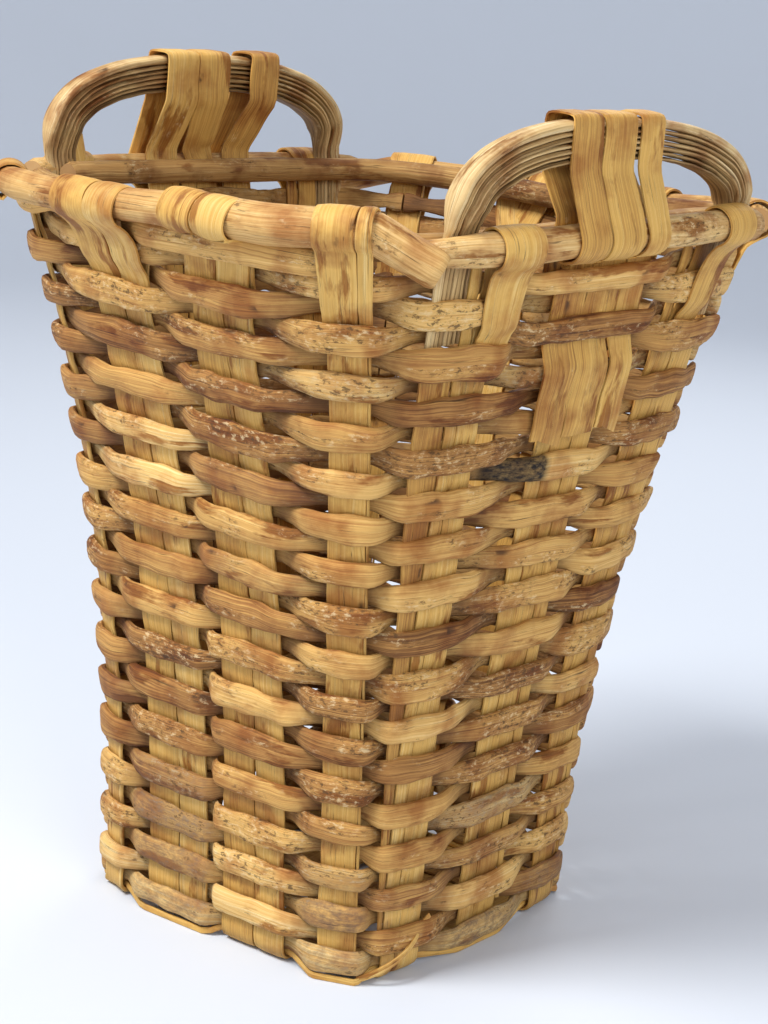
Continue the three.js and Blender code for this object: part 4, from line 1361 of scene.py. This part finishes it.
# %% [markdown]
# ## Handles
# Each handle is four split rods bent one inside the other. The inner three are split once
# more, so seven strands show. Their legs thin to flat tongues that go down beside the flank
# stakes, and three straps hold the crown to the rim. All strands of a handle follow one
# line, each with its own offset, so that they stay side by side through the bend.

# %% A handle's line
# A leg's points, as height on the wall and height above that along its slope.
LEG_POINTS = ((504, 0), (540, 0), (575, 0), (575, 12))
ARCH_STEPS, ARCH_POWER = 40, 2.4


def squarer(value):
    """Gives a round arch, from its sine or cosine, fuller shoulders."""
    return math.copysign(abs(value) ** (2 / ARCH_POWER), value)


def handle_leg(stake, outward):
    """A leg's stations beside its flank stake, from the weave up to the rim."""
    way = -1 if stake["first"] else 1
    leg = []
    for z, lift in LEG_POINTS:
        middle = float(stake_width(stake, z)) / 2 + GAP + HANDLE_BUNDLE / 2
        out = stake_frame(stake, z)[3]
        leg.append(np.concatenate([on_wall(stake, z, way * middle, 0, lift),
                                   outward if lift else out]))
    return leg


def handle_line(side):
    """The bundle's middle line with the direction of its depth."""
    outward, along = side_ways(side)
    legs = [handle_leg(s, outward) for s in stakes if s["side"] == side and s["kind"] == "flank"]
    feet = [leg[-1][:3] for leg in legs]
    middle = (feet[0] + feet[1]) / 2
    span = np.linalg.norm(feet[1] - feet[0]) / 2
    arch = []
    for n in range(ARCH_STEPS + 1):
        angle = math.pi * (1 - n / ARCH_STEPS)
        rise = squarer(max(math.sin(angle), 0))
        z = HANDLE_SPRING + (HANDLE_CROWN - HANDLE_SPRING) * rise
        lean = HANDLE_LEAN * (z - HANDLE_SPRING) / (HANDLE_CROWN - HANDLE_SPRING)
        centre = middle + along * span * squarer(math.cos(angle)) + outward * lean
        centre[2] = z
        arch.append(np.concatenate([centre, outward]))
    rows = smooth_path(np.array(legs[0] + arch + legs[1][::-1]), rounds=1, step=9)
    return rows[:, :3], unit(rows[:, 3:6])


print("a handle's line is", round(lengths(handle_line(1)[0])[-1]), "mm long")

# %% Handle rods
# By rod, from the innermost: its height and depth as shares of the solid's, and its tone.
ROD_TALLS = (0.84, 0.98, 0.92, 1.04)
ROD_DEEPS = (0.82, 0.97, 0.92, 0.84)
ROD_TONES = (0.1, 0.5, 0.3, 0.85)
SPLIT_DEEPS = (1, 0.9)
LEG_DEPTH, LEG_ENDS, THICKENS_OVER = 1.7, 586, 22
SECTION_POWER, HANDLE_SIDES = 0.75, 14


def handle_rings(side, number, part, parts):
    """Rings of one strand: a flat tongue in the weave that thickens above the rim."""
    centre, depth = handle_line(side)
    heading = unit(np.gradient(centre, axis=0))
    outer = unit(np.cross(depth, heading))
    length = lengths(centre)
    seed = 200 + side * 10 + number
    offset = (number - (HANDLE_RODS - 1) / 2) * HANDLE_PITCH + 0.4 * waves(length, 3, seed)
    offset = offset + HANDLE_PITCH * ((part + 0.5) / parts - 0.5)
    upper = np.clip((centre[:, 2] - LEG_ENDS) / THICKENS_OVER, 0, 1)
    deep = LEG_DEPTH + (HANDLE_DEPTH - LEG_DEPTH) * upper * ROD_DEEPS[number]
    deep = deep * (1 + 0.04 * waves(length, 4, seed + 1))
    deep = deep * SPLIT_DEEPS[part]
    sway = 0.5 * waves(length, 3, seed + 2) * upper
    phi = np.linspace(0, 2 * math.pi, HANDLE_SIDES, endpoint=False)
    cosine = np.sign(np.cos(phi)) * np.abs(np.cos(phi)) ** SECTION_POWER
    sine = np.sign(np.sin(phi)) * np.abs(np.sin(phi)) ** SECTION_POWER
    line = centre + outer * offset[:, None] + depth * sway[:, None]
    half = HANDLE_ROD / 2 / parts * ROD_TALLS[number]
    half = half * (1 + 0.07 * waves(length, 4, seed + 3 + 7 * part))
    return (line[:, None, :] + outer[:, None, :] * (half[:, None] * cosine[None, :])[:, :, None]
            + depth[:, None, :] * (deep[:, None] * sine[None, :])[:, :, None])


for side in (1, 3):
    for number in range(HANDLE_RODS):
        parts = 2 if number < HANDLE_RODS - 1 else 1
        strips = [strand(handle_rings(side, number, part, parts), ROD_TONES[number] + 0.3 * part,
                         shift=side + number * 0.3 + part * 0.17) for part in range(parts)]
        make_piece(f"handle_bow_{RIM_NAMES[side]}_{number + 1}", strips, worn_rod_wood,
                   [f"handle_{RIM_NAMES[side]}_rod_{number + 1}"])
print("rods in each handle", HANDLE_RODS)

# %% [markdown]
# ## Straps
# Two strips lie beside the splint's own end on each handle. They start inside the rim, go
# over the crown and end in the weave, each cut off a little slanted.

# %% Straps
STRAP_SLANT = 6
for (side, name), sizes in STRAPS.items():
    centre_stake = [s for s in stakes if s["side"] == side and s["kind"] == "centre"][0]
    rim_side = sizes[1]
    seed = 700 + side * 10 + rim_side
    part = strip(strap_path(centre_stake, *sizes, True), 0.5 + 0.006 * rim_side, seed,
                 seed * 0.1, slant=STRAP_SLANT)
    make_piece(f"strap_{RIM_NAMES[side]}_{name}", [part], splint_wood,
               [f"handle_{RIM_NAMES[side]}_strap_{name}"])
print("side straps", len(STRAPS))

# %% [markdown]
# ## Floor, backdrop and light
# A plain pale floor that runs up all round into a backdrop, as paper does in a studio, so
# that the basket can be looked at from every side. It is one sheet made of rings of points,
# with a curve where floor and backdrop meet, because a corner would show as a line. It lies
# a hair below the basket's underside. Large lamps give soft light from above and in front,
# as the photograph has it, and a weaker one behind separates the basket from the backdrop.

# %% Floor and backdrop
FLOOR_REACH, CURVE_RADIUS, BACKDROP_HEIGHT, FLOOR_SIDES = 3.2, 1.4, 2.6, 96
DISC_REACH, BELOW_BASKET = 1.5, 0.0006
curve = np.radians(np.linspace(0, 90, 13))
reaches = [DISC_REACH, *(FLOOR_REACH + CURVE_RADIUS * np.sin(curve)),
           FLOOR_REACH + CURVE_RADIUS]
heights = [0, *(CURVE_RADIUS * (1 - np.cos(curve))), BACKDROP_HEIGHT]
turns = np.linspace(0, 2 * math.pi, FLOOR_SIDES, endpoint=False)
points = [(reach * math.cos(turn), reach * math.sin(turn), height - BELOW_BASKET)
          for reach, height in zip(reaches, heights) for turn in turns]
faces = [list(range(FLOOR_SIDES))]
for ring in range(len(reaches) - 1):
    for n in range(FLOOR_SIDES):
        here, there = ring * FLOOR_SIDES + n, ring * FLOOR_SIDES + (n + 1) % FLOOR_SIDES
        faces.append([here, here + FLOOR_SIDES, there + FLOOR_SIDES, there])
paper_mesh = bpy.data.meshes.new("floor")
paper_mesh.from_pydata(points, [], faces)
paper_mesh.polygons.foreach_set("use_smooth", [True] * len(faces))
floor = bpy.data.objects.new("floor", paper_mesh)
bpy.context.scene.collection.objects.link(floor)
print("floor and backdrop", round(2 * (FLOOR_REACH + CURVE_RADIUS), 1), "m across")

# %% Paper
# Matt paper of a pale, slightly cold grey, which makes the warm wood stand out.
paper = bpy.data.materials.new("pale_paper")
paper.use_nodes = True
paper_shader = paper.node_tree.nodes["Principled BSDF"]
paper_shader.inputs["Base Color"].default_value = colour("#d6dce5")
paper_shader.inputs["Roughness"].default_value = 0.9
paper_mesh.materials.append(paper)
print("material", paper.name)

# %% Light
# Each lamp's place in metres, its size in metres and its power in watts.
LAMPS = {"key": ((-0.5, -2.0, 3.0), 1.2, 128), "fill": ((2.6, -0.9, 1.6), 1.8, 34),
         "rim": ((-1.0, 2.2, 2.0), 1.5, 24)}
LAMPS_AIM = Vector((0, 0, 0.3))
AIR_COLOUR, AIR_STRENGTH = "#e6e9f2", 0.39

world = bpy.data.worlds.new("studio")
world.use_nodes = True
air = world.node_tree.nodes["Background"]
air.inputs["Color"].default_value = colour(AIR_COLOUR)
air.inputs["Strength"].default_value = AIR_STRENGTH
bpy.context.scene.world = world
for name, (location, size, power) in LAMPS.items():
    data = bpy.data.lights.new(name, "AREA")
    data.size = size
    data.energy = power
    lamp = bpy.data.objects.new(name, data)
    bpy.context.scene.collection.objects.link(lamp)
    lamp.location = location
    lamp.rotation_euler = (LAMPS_AIM - Vector(location)).to_track_quat("-Z", "Y").to_euler()
bpy.context.scene.view_settings.view_transform = "Standard"
print("lamps", *LAMPS)
